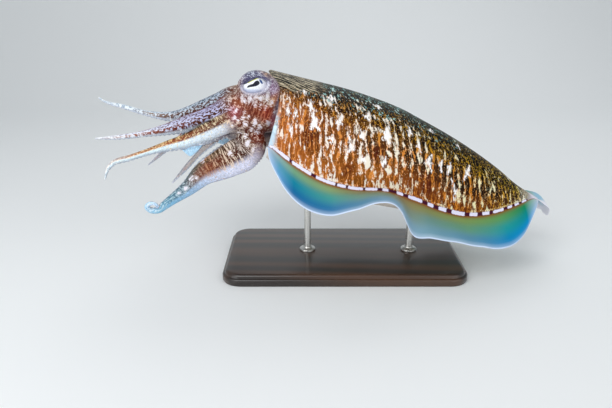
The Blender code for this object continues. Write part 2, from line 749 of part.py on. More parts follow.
def funnel():
    """The funnel lies under the head, its rear end in the collar, its bore open in front."""
    rings = [
        [
            Vector((back, half_width * math.sin(a), height + half_height * math.cos(a)))
            for a in (2 * math.pi * i / FUNNEL_SIDES for i in range(FUNNEL_SIDES))
        ]
        for back, height, half_width, half_height in FUNNEL_STATIONS
    ]
    tip, before = FUNNEL_STATIONS[-1], FUNNEL_STATIONS[-2]
    slope = (tip[1] - before[1]) / (tip[0] - before[0])
    for depth in (0.0, FUNNEL_BORE_DEPTH):
        wide, high = tip[2] - FUNNEL_WALL, tip[3] - FUNNEL_WALL
        rings.append(
            [
                Vector((tip[0] + depth, wide * math.sin(a), tip[1] + depth * slope + high * math.cos(a)))
                for a in (2 * math.pi * i / FUNNEL_SIDES for i in range(FUNNEL_SIDES))
            ]
        )
    finish("funnel", loft(rings), material("funnel_skin", (0.80, 0.74, 0.66), 0.4))


# Stand


def circle(x, z, radius, sides=ROD_SIDES):
    angles = (2 * math.pi * i / sides for i in range(sides))
    return [Vector((x + radius * math.cos(a), radius * math.sin(a), z)) for a in angles]


def belly_height(x):
    """World height of the belly's midline over a place on the stand."""
    low, high = 0.0, 1.0
    for _ in range(40):
        share = (low + high) / 2
        if (animal_to_world @ mantle_point(share, math.pi)).x < x:
            low = share
        else:
            high = share
    return (animal_to_world @ mantle_point(low, math.pi)).z


def rod_top(x):
    return belly_height(x) + ROD_SINK


def rod_cutter(x):
    top = rod_top(x) + GAP
    low = belly_height(x) - 3 * ROD_SINK
    radius = ROD_RADIUS + GAP
    return finish("rod_cutter", loft([circle(x, low, radius), circle(x, top, radius)]), posed=False)


def rod(name, x):
    foot = BASE_THICK + GAP
    rings = [
        circle(x, foot, ROD_FOOT_RADIUS),
        circle(x, foot + ROD_FOOT_HEIGHT, ROD_FOOT_RADIUS),
        circle(x, foot + ROD_FOOT_HEIGHT, ROD_RADIUS),
        circle(x, rod_top(x), ROD_RADIUS),
    ]
    finish(name, loft(rings), material("stand_rod", (0.62, 0.62, 0.64), 0.3, 1.0), posed=False)


def stand_base():
    """A flat slab with round corners and softened edges."""
    corner_steps = 5
    half_x, half_y = BASE_LENGTH / 2 - BASE_CORNER, BASE_WIDTH / 2 - BASE_CORNER

    def outline(z, inset):
        ring = []
        for quarter, (sx, sy) in enumerate(((1, 1), (-1, 1), (-1, -1), (1, -1))):
            for k in range(corner_steps + 1):
                a = math.pi / 2 * (quarter + k / corner_steps)
                radius = BASE_CORNER - inset
                ring.append(
                    Vector((sx * half_x + radius * math.cos(a), sy * half_y + radius * math.sin(a), z))
                )
        return ring

    rings = [
        outline(0, BASE_BEVEL),
        outline(BASE_BEVEL, 0),
        outline(BASE_THICK - BASE_BEVEL, 0),
        outline(BASE_THICK, BASE_BEVEL),
    ]
    finish("stand_base", loft(rings), material("stand_base", (0.06, 0.05, 0.045), 0.4), posed=False)


def main():
    clear_scene()
    arms = [Arm(key) for key in ARM_LINES]
    mantle()
    fin("left", LEFT, FIN_LEFT_STATIONS)
    fin("right", RIGHT, FIN_RIGHT_STATIONS)
    head(arms)
    eye("left", LEFT)
    eye("right", RIGHT)
    mouth()
    funnel()
    for arm in arms:
        arm_lengths(arm)
    stand_base()
    rod("stand_rod_front", ROD_X[0])
    rod("stand_rod_rear", ROD_X[1])


main()
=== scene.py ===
import math

import bmesh
import bpy
import numpy as np
import openvdb
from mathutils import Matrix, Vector


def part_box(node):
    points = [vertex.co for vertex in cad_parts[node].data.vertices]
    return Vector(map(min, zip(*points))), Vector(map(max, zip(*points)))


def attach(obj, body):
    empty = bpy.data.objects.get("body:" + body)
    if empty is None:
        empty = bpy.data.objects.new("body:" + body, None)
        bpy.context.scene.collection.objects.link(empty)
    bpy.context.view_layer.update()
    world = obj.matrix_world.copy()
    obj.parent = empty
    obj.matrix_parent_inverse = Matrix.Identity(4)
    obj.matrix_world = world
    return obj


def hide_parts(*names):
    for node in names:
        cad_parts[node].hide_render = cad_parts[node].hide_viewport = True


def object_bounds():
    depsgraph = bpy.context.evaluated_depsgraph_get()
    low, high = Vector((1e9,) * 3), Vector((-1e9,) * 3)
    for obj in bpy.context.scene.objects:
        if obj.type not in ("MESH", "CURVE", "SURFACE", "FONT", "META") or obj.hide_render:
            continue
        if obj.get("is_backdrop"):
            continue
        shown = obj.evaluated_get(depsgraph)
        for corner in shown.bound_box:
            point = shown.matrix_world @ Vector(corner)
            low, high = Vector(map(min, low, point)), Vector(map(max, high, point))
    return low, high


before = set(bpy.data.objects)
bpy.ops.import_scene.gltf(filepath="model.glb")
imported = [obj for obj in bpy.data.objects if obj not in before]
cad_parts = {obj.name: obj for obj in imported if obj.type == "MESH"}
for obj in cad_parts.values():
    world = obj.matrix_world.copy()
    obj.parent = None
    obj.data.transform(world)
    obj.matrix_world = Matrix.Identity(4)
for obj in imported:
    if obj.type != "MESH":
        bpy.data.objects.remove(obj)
cad_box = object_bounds()

# Camera, seamless sweep and soft lamps
# The camera stands square to the model's left side and looks down on it by 20 degrees.
# The sweep is matt painted board, pale grey, curved up behind the stand.

LOOK_AT = Vector((-0.0397, 0.0, 0.0646))
DISTANCE = 0.632
LOOK_DOWN = math.radians(20)
SWEEP_NEAR, SWEEP_FAR, SWEEP_CURVE, SWEEP_TOP, SWEEP_HALF = -2.2, 1.5, 0.7, 2.6, 3.2
SWEEP_STEPS = 16
LAMPS_AIM, ROOM_LIGHT = Vector((0, 0, 0.12)), 0.46
LAMPS = (  # place, size of the lamp's square, watts
    ((-0.55, -1.00, 1.05), 0.9, 10.0),
    ((0.85, -0.95, 0.60), 1.1, 4.0),
    ((0.30, 0.85, 1.10), 0.8, 3.0),
    ((-0.60, -0.55, 0.10), 0.5, 1.3),
)

link = bpy.context.scene.collection.objects.link


def linear(code):
    """Linear values of an sRGB hex colour."""
    parts = [int(code[i : i + 2], 16) / 255 for i in (0, 2, 4)]
    return (*(v / 12.92 if v <= 0.04045 else ((v + 0.055) / 1.055) ** 2.4 for v in parts), 1.0)


def add(tree, kind, settings=None, **inputs):
    """A node with its settings. An input is given by its name, or by its number as n0, n1 and so on, and
    a node given as an input stands for its first output."""
    node = tree.nodes.new(kind)
    for name, value in (settings or {}).items():
        setattr(node, name, value)
    for name, value in inputs.items():
        by_number = name[0] == "n" and name[1:].isdigit()
        socket = node.inputs[int(name[1:]) if by_number else name.replace("_", " ")]
        if isinstance(value, bpy.types.Node):
            value = value.outputs[0]
        if isinstance(value, bpy.types.NodeSocket):
            tree.links.new(value, socket)
        else:
            socket.default_value = value
    return node


def empty_material(name):
    """A material without a shader, its node tree and the object's own coordinates in it."""
    made = bpy.data.materials.new(name)
    made.use_nodes = True
    made.node_tree.nodes.clear()
    return made, made.node_tree, add(made.node_tree, "ShaderNodeTexCoord").outputs["Object"]


def paint_over(tree, paint, layers):
    """Layers of paint over a first: what each follows, where it starts and is full, its greatest share,
    a weight and its colour."""
    for value, start, end, share, weight, colour in layers:
        ramp = add(tree, "ShaderNodeMapRange", n0=value, n1=start, n2=end, n4=share)
        mask = add(tree, "ShaderNodeMath", {"operation": "MULTIPLY"}, n0=ramp, n1=weight)
        paint = add(tree, "ShaderNodeMix", {"data_type": "RGBA"}, n0=mask, n6=paint, n7=colour).outputs[2]
    return paint


def new_object(name, points, faces, material):
    """A smooth mesh object at the origin, with its faces turned outwards."""
    mesh = bpy.data.meshes.new(name)
    mesh.from_pydata(np.asarray(points).tolist(), [], faces)
    bm = bmesh.new()
    bm.from_mesh(mesh)
    if bm.calc_volume(signed=True) < 0:
        bmesh.ops.reverse_faces(bm, faces=bm.faces)
    bm.to_mesh(mesh)
    bm.free()
    mesh.shade_smooth()
    mesh.materials.append(material)
    made = bpy.data.objects.new(name, mesh)
    link(made)
    return made


camera = bpy.data.objects.new("camera", bpy.data.cameras.new("camera"))
camera.data.lens, camera.data.sensor_width, camera.data.clip_start = 35.0, 36.0, 0.01
camera.location = LOOK_AT + DISTANCE * Vector((0, -math.cos(LOOK_DOWN), math.sin(LOOK_DOWN)))
camera.rotation_euler = (math.pi / 2 - LOOK_DOWN, 0, 0)
link(camera)
bpy.context.scene.camera = camera

# Painted board: a matt surface with the faintest roller texture, so it only shows soft shade.
board, tree, where = empty_material("matt_painted_board")
roller = add(tree, "ShaderNodeTexNoise", Vector=where, Scale=400.0, Detail=3.0)
grain = add(tree, "ShaderNodeBump", Height=roller, Strength=0.05, Distance=0.0005)
shader = add(tree, "ShaderNodeBsdfPrincipled", Base_Color=linear("f4f6f7"), Roughness=0.85, Normal=grain)
add(tree, "ShaderNodeOutputMaterial", Surface=shader)

profile = [(SWEEP_NEAR, 0.0), (SWEEP_FAR - SWEEP_CURVE, 0.0)]
for i in range(1, SWEEP_STEPS + 1):
    a = math.pi / 2 * i / SWEEP_STEPS
    profile.append((SWEEP_FAR - SWEEP_CURVE * (1 - math.sin(a)), SWEEP_CURVE * (1 - math.cos(a))))
profile.append((SWEEP_FAR, SWEEP_TOP))
points = [(x, y, z) for x in (-SWEEP_HALF, SWEEP_HALF) for y, z in profile]
count = len(profile)
mesh = bpy.data.meshes.new("sweep")
mesh.from_pydata(points, [], [(i, i + count, i + count + 1, i + 1) for i in range(count - 1)])
mesh.shade_smooth()
mesh.materials.append(board)
sweep = bpy.data.objects.new("sweep", mesh)
link(sweep)
sweep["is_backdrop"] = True

for i, (place, size, watts) in enumerate(LAMPS, 1):
    lamp = bpy.data.objects.new(f"lamp_{i}", bpy.data.lights.new(f"lamp_{i}", "AREA"))
    lamp.data.size, lamp.data.energy = size, watts
    lamp.location = place
    lamp.rotation_euler = (LAMPS_AIM - Vector(place)).to_track_quat("-Z", "Y").to_euler()
    link(lamp)
world = bpy.data.worlds.new("studio")
world.use_nodes = True
background = world.node_tree.nodes["Background"]
background.inputs["Color"].default_value = linear("e8eef2")
background.inputs["Strength"].default_value = ROOM_LIGHT
bpy.context.scene.world = world
bpy.context.scene.view_settings.view_transform = "Standard"

# Stand base
# A slab of walnut with round corners, its upper edge routed to a small step and round, stained dark
# and finished with satin varnish.

BASE_LENGTH, BASE_WIDTH, BASE_THICK, BASE_CORNER = 0.250, 0.130, 0.012, 0.020
BASE_EDGE = (  # inset from the outline and height, going up the side
    (0.0018, 0.0), (0.0006, 0.0003), (0.0, 0.0012), (0.0, 0.0062), (0.0004, 0.0072), (0.0014, 0.0078),
    (0.0022, 0.0080), (0.0024, 0.0084), (0.0026, 0.0098), (0.0034, 0.0110), (0.0046, 0.0117),
    (0.0062, 0.0120),
)
CORNER_STEPS = 14


def base_outline(inset, z):
    """Points round the base at one height, inside its outline by an inset."""
    half_x, half_y = BASE_LENGTH / 2 - BASE_CORNER, BASE_WIDTH / 2 - BASE_CORNER
    radius = BASE_CORNER - inset
    ring = []
    for quarter, (sx, sy) in enumerate(((1, 1), (-1, 1), (-1, -1), (1, -1))):
        for k in range(CORNER_STEPS + 1):
            a = math.pi / 2 * (quarter + k / CORNER_STEPS)
            ring.append((sx * half_x + radius * math.cos(a), sy * half_y + radius * math.sin(a), z))
    return ring


def loft_faces(rings, around, poles=False):
    """Quads between rings of equally many points. One face closes each end, or triangles to a pole: the
    first ring's and the last ring's poles are the two points after all the rings."""
    faces, last = [], (rings - 1) * around
    for r in range(rings - 1):
        for i in range(around):
            j = (i + 1) % around
            a, b = r * around, (r + 1) * around
            faces.append((a + i, a + j, b + j, b + i))
    if not poles:
        return [*faces, tuple(reversed(range(around))), tuple(range(last, last + around))]
    for i in range(around):
        j = (i + 1) % around
        faces += [(j, i, last + around), (last + i, last + j, last + around + 1)]
    return faces


def turned(profile, sides, x=0.0):
    """Points round an upright axis, from radii and heights."""
    turns = [2 * math.pi * i / sides for i in range(sides)]
    return [(x + radius * math.cos(a), radius * math.sin(a), z) for radius, z in profile for a in turns]


# Walnut, planed and varnished: long grain lines along the slab in two browns, fine dark pores 0.3 mm
# wide, and a thin satin coat over them.
walnut, tree, where = empty_material("satin_varnished_walnut")
stretch = add(tree, "ShaderNodeMapping", Vector=where, Scale=(5.0, 45.0, 45.0))
wander = add(tree, "ShaderNodeTexNoise", Vector=stretch, Scale=0.9, Detail=4.0, Distortion=0.6)
rings = add(tree, "ShaderNodeTexWave", {"wave_type": "BANDS", "bands_direction": "Y"}, Vector=stretch,
            Scale=0.42, Distortion=26.0, Detail=2.5, Detail_Scale=0.30)
tone = add(tree, "ShaderNodeMath", {"operation": "MULTIPLY"}, n0=wander, n1=rings.outputs["Fac"])
fine = add(tree, "ShaderNodeMapping", Vector=where, Scale=(120.0, 3000.0, 3000.0))
pores = add(tree, "ShaderNodeTexNoise", Vector=fine, Scale=1.0, Detail=2.0)
paint = paint_over(tree, linear("1d120b"), [
    (tone, 0.05, 0.62, 1.0, 1.0, linear("4b2f1c")), (pores, 0.60, 0.70, 0.55, 1.0, linear("120a06")),
])
dents = add(tree, "ShaderNodeBump", Height=pores, Strength=0.15, Distance=0.0002)
shader = add(tree, "ShaderNodeBsdfPrincipled", Base_Color=paint, Roughness=0.42, Coat_Weight=0.55,
             Coat_Roughness=0.16, Normal=dents)
add(tree, "ShaderNodeOutputMaterial", Surface=shader)

points = [point for inset, z in BASE_EDGE for point in base_outline(inset, z)]
slab = new_object("walnut_base", points, loft_faces(len(BASE_EDGE), 4 * (CORNER_STEPS + 1)), walnut)
slab.data.set_sharp_from_angle(angle=math.radians(38))
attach(slab, "root")
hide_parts("stand_base")

# Stand rods
# Two bright steel rods, 7 mm thick, each brushed round its axis and screwed into a turned foot on the
# base. Their upper ends go into sockets in the belly.

ROD_X, ROD_RADIUS, ROD_SIDES, ROD_CHAMFER = (-0.038, 0.072), 0.0035, 48, 0.0006
FOOT_PROFILE = (  # radius and height above the base
    (0.0085, 0.0003), (0.0085, 0.0016), (0.0083, 0.0020), (0.0078, 0.0023), (0.0062, 0.0026),
    (0.0050, 0.0030), (0.0045, 0.0036), (0.0044, 0.0046), (0.0041, 0.0049), (0.0036, 0.0050),
    (0.0035, 0.0053),
)

# Stainless steel, turned and brushed: rings of fine scratches 0.2 mm apart blur the highlight across
# the rod. They are drawn at 0.5 mm, so that they show.
steel, tree, where = empty_material("brushed_stainless_steel")
lines = add(tree, "ShaderNodeMapping", Vector=where, Scale=(150.0, 150.0, 2000.0))
scratch = add(tree, "ShaderNodeTexNoise", Vector=lines, Scale=1.0, Detail=3.0)
rough = add(tree, "ShaderNodeMapRange", n0=scratch, n1=0.3, n2=0.7, n3=0.22, n4=0.42)
ridges = add(tree, "ShaderNodeBump", Height=scratch, Strength=0.12, Distance=0.0001)
shader = add(tree, "ShaderNodeBsdfPrincipled", Base_Color=linear("c9c8c4"), Metallic=1.0, Roughness=rough,
             Anisotropic=0.4, Normal=ridges)
add(tree, "ShaderNodeOutputMaterial", Surface=shader)

for x, node_name, name in zip(ROD_X, ("stand_rod_front", "stand_rod_rear"), ("rod_front", "rod_rear")):
    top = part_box(node_name)[1][2]
    rows = [(radius, BASE_THICK + height) for radius, height in FOOT_PROFILE]
    rows += [(ROD_RADIUS, top - ROD_CHAMFER), (ROD_RADIUS - ROD_CHAMFER, top)]
    rod = new_object(name, turned(rows, ROD_SIDES, x), loft_faces(len(rows), ROD_SIDES), steel)
    rod.data.set_sharp_from_angle(angle=math.radians(40))
    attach(rod, "root")
    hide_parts(node_name)

# Mantle and fins
# One skin of painted silicone over the body: the mantle with its free front margin, and a fin along
# each side. The zebra stripes run round the back, and a broken white line follows each fin's root.

MM = 1000  # millimetres in a metre
NOWHERE, FAR = 99.0, 9.0  # mm from a mark: where there is none, and well clear of it
PITCH = math.radians(17.5)
COLLAR = np.array((-0.071, 0.0, 0.157))
MANTLE_LENGTH = 0.289
MANTLE_STATIONS = (  # share of the length, half width, heights of back, fin line and belly
    (0.00, 0.0500, 0.0440, -0.0180, -0.0370),
    (0.10, 0.0580, 0.0465, -0.0265, -0.0460),
    (0.20, 0.0620, 0.0485, -0.0325, -0.0510),
    (0.30, 0.0630, 0.0485, -0.0320, -0.0520),
    (0.42, 0.0610, 0.0462, -0.0245, -0.0490),
    (0.50, 0.0570, 0.0420, -0.0250, -0.0465),
    (0.62, 0.0490, 0.0350, -0.0300, -0.0430),
    (0.72, 0.0410, 0.0275, -0.0300, -0.0395),
    (0.82, 0.0310, 0.0182, -0.0215, -0.0300),
    (0.91, 0.0180, 0.0080, -0.0085, -0.0150),
    (0.97, 0.0070, 0.0035, -0.0005, -0.0050),
    (1.00, 0.0022, 0.0014, 0.0000, -0.0016),
)
SHOULDER = 0.86
NUCHAL_REACH, NUCHAL_SPREAD = 0.018, 0.50
MARGIN_NOTCH, MARGIN_FADE = 0.004, 0.22
MARGIN_ROLL = (  # scale against the margin's outline and distance back, going round the lip and in
    (0.994, -0.0007), (0.984, -0.0011), (0.972, -0.0010), (0.961, -0.0004), (0.953, 0.0006),
    (0.948, 0.0020), (0.940, 0.0050), (0.925, 0.0090), (0.905, 0.0130), (0.885, 0.0170),
)
MARGIN_FLOOR = 0.019  # where the skin under the margin ends, back from the front edge
FIN_ROOT_HALF, FIN_EDGE_HALF = 0.0015, 0.00040
FIN_LEAST, FIN_FULL = 0.0003, 0.007  # least reach, and the reach at which a fin has its full thickness
FIN_ROOT_BLEND = 0.35
FIN_STATIONS = {  # share, then the edge's reach back, out and up, and the bow of the fin's middle
    -1: (
        (0.000, -0.001, 0.0006, -0.0004, 0.05), (0.012, -0.002, 0.007, -0.0040, 0.10),
        (0.050, 0.003, 0.016, -0.0160, 0.10), (0.095, 0.006, 0.020, -0.0235, 0.10),
        (0.150, 0.009, 0.023, -0.0250, 0.12), (0.220, 0.010, 0.025, -0.0195, 0.12),
        (0.290, 0.008, 0.030, -0.0065, 0.10), (0.345, 0.006, 0.034, 0.0025, 0.08),
        (0.395, 0.004, 0.035, 0.0035, 0.08), (0.440, 0.005, 0.033, -0.0040, 0.10),
        (0.495, 0.010, 0.026, -0.0250, 0.10), (0.560, 0.011, 0.024, -0.0220, 0.12),
        (0.640, 0.013, 0.024, -0.0180, 0.12), (0.730, 0.016, 0.025, -0.0180, 0.12),
        (0.810, 0.017, 0.025, -0.0225, 0.12), (0.880, 0.014, 0.023, -0.0230, 0.12),
        (0.935, 0.008, 0.018, -0.0165, 0.10), (0.970, 0.004, 0.010, -0.0050, 0.10),
        (1.000, 0.001, 0.0006, -0.0003, 0.05),
    ),
    1: (
        (0.000, -0.001, 0.0006, -0.0004, 0.05), (0.012, -0.002, 0.007, -0.0040, 0.10),
        (0.050, 0.003, 0.016, -0.0140, 0.10), (0.110, 0.006, 0.024, -0.0200, 0.10),
        (0.180, 0.008, 0.025, -0.0220, 0.12), (0.260, 0.006, 0.023, -0.0250, 0.12),
        (0.340, 0.004, 0.022, -0.0270, 0.12), (0.420, 0.006, 0.025, -0.0240, 0.12),
        (0.500, 0.009, 0.031, -0.0120, 0.10), (0.580, 0.011, 0.033, -0.0060, 0.10),
        (0.660, 0.012, 0.030, -0.0130, 0.10), (0.740, 0.014, 0.026, -0.0200, 0.12),
        (0.800, 0.021, 0.025, -0.0210, 0.12),
        (0.850, 0.036, 0.025, -0.0180, 0.12), (0.885, 0.050, 0.024, -0.0120, 0.12),
        (0.905, 0.0562, 0.022, -0.0095, 0.16), (0.925, 0.0548, 0.021, -0.0146, 0.22),
        (0.942, 0.0520, 0.019, -0.0168, 0.24), (0.960, 0.0424, 0.015, -0.0110, 0.20),
        (0.980, 0.0230, 0.009, -0.0060, 0.10), (1.000, 0.001, 0.0006, 0.0000, 0.05),
    ),
}
RINGS, FLANK_STEPS, BELLY_STEPS = 335, 82, 22
RING_CROWDING = 1.06  # towards the tail
FIN_OVER = (0.05, 0.11, 0.18, 0.26, 0.35, 0.44, 0.53, 0.62, 0.71, 0.79, 0.86, 0.915, 0.955, 0.985)
FIN_UNDER = (0.985, 0.93, 0.84, 0.72, 0.60, 0.48, 0.36, 0.24, 0.14, 0.06)
RIPPLE, RIPPLE_LENGTH = 0.0003, 0.023
SEAM_ROUNDS, SEAM_REACH = 4, 4  # easing of the fin's roots: how often, and points on either side

PATCH = 0.125  # cell of the pattern sheets, in stripes
SHEET_SHAPE, SHEET_ROUNDS = (512, 256), 12  # cells, and rounds that sharpen a sheet's waves
PATTERN_DOWN = 0.0068  # the sheets' unit from the back down
STRIPE_SPACING = (  # share of the mantle and millimetres from stripe to stripe
    (0.00, 4.2), (0.06, 4.8), (0.20, 6.6), (0.60, 7.2), (0.78, 6.0), (0.90, 4.4), (1.00, 3.4),
)
STRIPE_LEAN = ((0.0, 0.22), (0.3, 0.30), (0.7, 0.30), (1.0, 0.42))
WHITE_BLOTCHES = (  # share, height as a share of the flank, size in millimetres, upright stretch
    (0.122, 0.42, 8.6, 1.1), (0.063, 0.69, 4.2, 0.8), (0.157, 0.71, 6.6, 0.8), (0.097, 0.55, 5.6, 1.3),
    (0.196, 0.50, 5.0, 1.9), (0.316, 0.80, 7.0, 0.6), (0.283, 0.63, 5.8, 1.2), (0.358, 0.49, 9.4, 1.2),
    (0.373, 0.25, 5.0, 1.3), (0.305, 0.26, 4.2, 1.0), (0.279, 0.45, 4.8, 1.7), (0.189, 0.35, 4.4, 1.2),
    (0.259, 0.33, 5.6, 2.4), (0.521, 0.40, 6.2, 1.8), (0.674, 0.50, 5.4, 1.9), (0.602, 0.45, 3.8, 2.0),
    (0.567, 0.43, 4.6, 1.8), (0.474, 0.50, 3.8, 1.8), (0.436, 0.61, 4.8, 1.6), (0.516, 0.79, 4.8, 0.9),
    (0.625, 0.79, 3.6, 1.2), (0.649, 0.25, 4.4, 2.6), (0.031, 0.42, 3.4, 1.6), (0.059, 0.42, 3.4, 1.8),
    (0.057, 0.26, 3.6, 2.0),
)
STROKES, STROKE_SWING = (90, -90, 200, -20, 45), 32  # degrees round a blotch's middle
DARK_PATCHES = ((0.117, 0.28, 9.0), (0.342, 0.33, 6.0), (0.544, 0.18, 8.0), (0.27, 0.14, 7.0))
DASHES = (  # shares of the mantle's length over which the line along the fin is white
    (0.000, 0.078), (0.088, 0.160), (0.178, 0.245), (0.252, 0.280), (0.287, 0.336), (0.343, 0.382),
    (0.398, 0.419), (0.447, 0.472), (0.491, 0.545), (0.566, 0.590), (0.611, 0.642), (0.663, 0.714),
    (0.733, 0.762), (0.780, 0.806), (0.820, 0.858), (0.872, 0.889), (0.899, 0.915), (0.927, 0.945),
)
DASH_WIDTH = (  # share of the mantle and millimetres
    (0.00, 2.2), (0.05, 3.2), (0.30, 3.0), (0.45, 2.8), (0.65, 4.2), (0.85, 3.2), (0.96, 1.8),
)
PALE_MARGIN = ((0.0, 7.5), (0.25, 4.0), (0.50, 1.6))  # height on the flank, width in millimetres
FLANK_COLOURS = (  # share of length; ground low, middle and high on the flank; stripe's edge, its core
    (0.00, "a45a24", "8c4c1e", "141a1a", "d88440", "c98a40", "eedccc"),
    (0.12, "a45a1e", "844414", "060908", "dc8a42", "c4802a", "f2e6dc"),
    (0.30, "985618", "54300f", "020403", "dc8c42", "bc8622", "f2e8da"),
    (0.50, "78390c", "2a1704", "030302", "d4812e", "b88a16", "f0e6cc"),
    (0.75, "642e08", "1c0f03", "050401", "cc7e22", "b89012", "eee4b6"),
    (0.90, "4a2e10", "2a1c0c", "141008", "d2a83c", "b8a024", "ece6c4"),
    (0.945, "c4bca4", "bcb498", "a8a088", "e8e2d0", "e8e2d0", "f6f4ee"),
    (0.965, "e6e2ee", "e4e0ec", "dcd6e2", "ece8f4", "ece8f4", "f6f4f8"),
    (1.00, "eae8f6", "e8e6f4", "e0dcec", "ece8f4", "ece8f4", "f6f4f8"),
)
FIN_COLOURS = (  # share of length; near the root, middle and outer part
    (0.00, "c4cce0", "b8c8de", "c0d2ea"),
    (0.045, "8cb4b4", "5a9cb4", "5a98c4"),
    (0.10, "74a684", "0a7e98", "0a6094"),
    (0.22, "8aa674", "449690", "246c9a"),
    (0.32, "928e60", "7a9a88", "5c8ca8"),
    (0.45, "968860", "8e9a88", "8cb0c8"),
    (0.55, "8c905c", "6c908a", "7098a8"),
    (0.70, "84a05c", "649878", "5488a4"),
    (0.84, "5c9c5c", "1c969a", "0084bc"),
    (0.93, "108858", "008a90", "0090cc"),
    (1.00, "c8d8e0", "d0dcec", "dce6f4"),
)


def along_rows(rows, at):
    """Values at many places on the smooth curve through rows whose first number is the place."""
    rows = np.array(rows, float)
    if rows[0, 0] > rows[-1, 0]:
        rows = rows[::-1]
    places, values = rows[:, 0], rows[:, 1:]
    slopes = np.gradient(values, places, axis=0)
    at = np.clip(at, places[0], places[-1])
    i = np.clip(np.searchsorted(places, at) - 1, 0, len(places) - 2)
    width = (places[i + 1] - places[i])[..., None]
    t = (at - places[i])[..., None] / width
    return (
        values[i] * (1 + 2 * t) * (1 - t) ** 2
        + slopes[i] * width * t * (1 - t) ** 2
        + values[i + 1] * t * t * (3 - 2 * t)
        + slopes[i + 1] * width * t * t * (t - 1)
    )


def columns_of(table, at):
    """Each column of a table of stations, at many places."""
    return np.moveaxis(along_rows(table, at), -1, 0)


def power(value, exponent):
    """A power that keeps the sign."""
    return np.sign(value) * np.abs(value) ** exponent


def smooth_step(value, start, end):
    """From 0 at the start to 1 at the end, level at both."""
    t = np.clip((value - start) / (end - start), 0.0, 1.0)
    return t * t * (3 - 2 * t)


def to_world(points):
    """From the animal's frame, x back along the mantle from its front edge, to the stand's."""
    c, s = math.cos(PITCH), math.sin(PITCH)
    turned = points @ np.array(((c, 0, -s), (0, 1, 0), (s, 0, c)))
    return turned + COLLAR


def mantle_point(share, turn):
    """Points of the mantle. turn goes from the back (0) by the left fin line to the belly (pi)."""
    half_width, top, fin_line, belly = columns_of(MANTLE_STATIONS, share)
    rise, side = np.cos(turn), np.sin(turn)
    z = fin_line + np.where(rise > 0, top - fin_line, fin_line - belly) * power(rise, SHOULDER)
    y = -half_width * power(side, SHOULDER)
    from_back = np.abs((turn + math.pi) % (2 * math.pi) - math.pi)
    margin = MARGIN_NOTCH * (1 - rise) / 2 - NUCHAL_REACH * np.exp(-((from_back / NUCHAL_SPREAD) ** 2))
    fade = np.clip(1 - share / MARGIN_FADE, 0, 1) ** 2
    return np.stack([MANTLE_LENGTH * share + margin * fade, y, z], -1)


def half_section(share, side):
    """Half of each ring, from the back over the flank, the fin and the belly to its middle."""
    _, top, fin_line, belly = columns_of(MANTLE_STATIONS, share)
    back, reach, rise, bow = columns_of(FIN_STATIONS[side], share)
    reach = np.maximum(reach, FIN_LEAST)
    thick = np.clip(reach / FIN_FULL, 0.1, 1.0)
    root = FIN_ROOT_HALF * thick
    upper = np.arccos(np.clip(root / (top - fin_line), 0, 0.8) ** (1 / SHOULDER))
    lower = math.pi - np.arccos(np.clip(root / (fin_line - belly), 0, 0.8) ** (1 / SHOULDER))
    flank = upper[:, None] * (np.arange(FLANK_STEPS) / (FLANK_STEPS - 1))[None]
    under = lower[:, None] + (math.pi - lower)[:, None] * (np.arange(BELLY_STEPS) / (BELLY_STEPS - 1))[None]
    wide = np.repeat(share[:, None], FLANK_STEPS, 1)
    flank_points = mantle_point(wide, flank)
    belly_points = mantle_point(wide[:, :BELLY_STEPS], under)
    start = mantle_point(share, np.full(len(share), math.pi / 2))
    for group in (flank_points, belly_points, start):
        group[..., 1] *= -side
    out = np.array([*FIN_OVER, 1.0, *FIN_UNDER])
    face = np.array([*[1.0] * len(FIN_OVER), 0.0, *[-1.0] * len(FIN_UNDER)])
    chord = np.stack([back, side * reach, rise], -1)
    length = np.linalg.norm(chord, axis=1)
    normal = np.stack([np.zeros(len(share)), -side * chord[:, 2], side * chord[:, 1]], -1)
    normal /= np.linalg.norm(normal, axis=1)[:, None]
    lean = np.clip(out / FIN_ROOT_BLEND, 0, 1)[None, :, None]
    upright = np.array((0.0, 0.0, 1.0)) * (1 - lean) + normal[:, None] * lean
    upright /= np.linalg.norm(upright, axis=2)[..., None]
    half = (FIN_ROOT_HALF + (FIN_EDGE_HALF - FIN_ROOT_HALF) * out ** 0.7)[None] * thick[:, None]
    wave = np.sin(2 * math.pi * share * MANTLE_LENGTH / RIPPLE_LENGTH)[:, None] * out[None] ** 2
    swell = (bow * length)[:, None] * np.sin(math.pi * out)[None] + RIPPLE * wave * thick[:, None]
    fin_points = (
        start[:, None]
        + chord[:, None] * out[None, :, None]
        + normal[:, None] * swell[..., None]
        + upright * (half * face[None])[..., None]
    )
    points = np.concatenate([flank_points, fin_points, belly_points], 1)
    for _ in range(SEAM_ROUNDS):
        eased = points.copy()
        for seam in (FLANK_STEPS, FLANK_STEPS + len(out)):
            for k in range(seam - SEAM_REACH, seam + SEAM_REACH):
                eased[:, k] = (points[:, k - 1] + 2 * points[:, k] + points[:, k + 1]) / 4
        points = eased
    return points


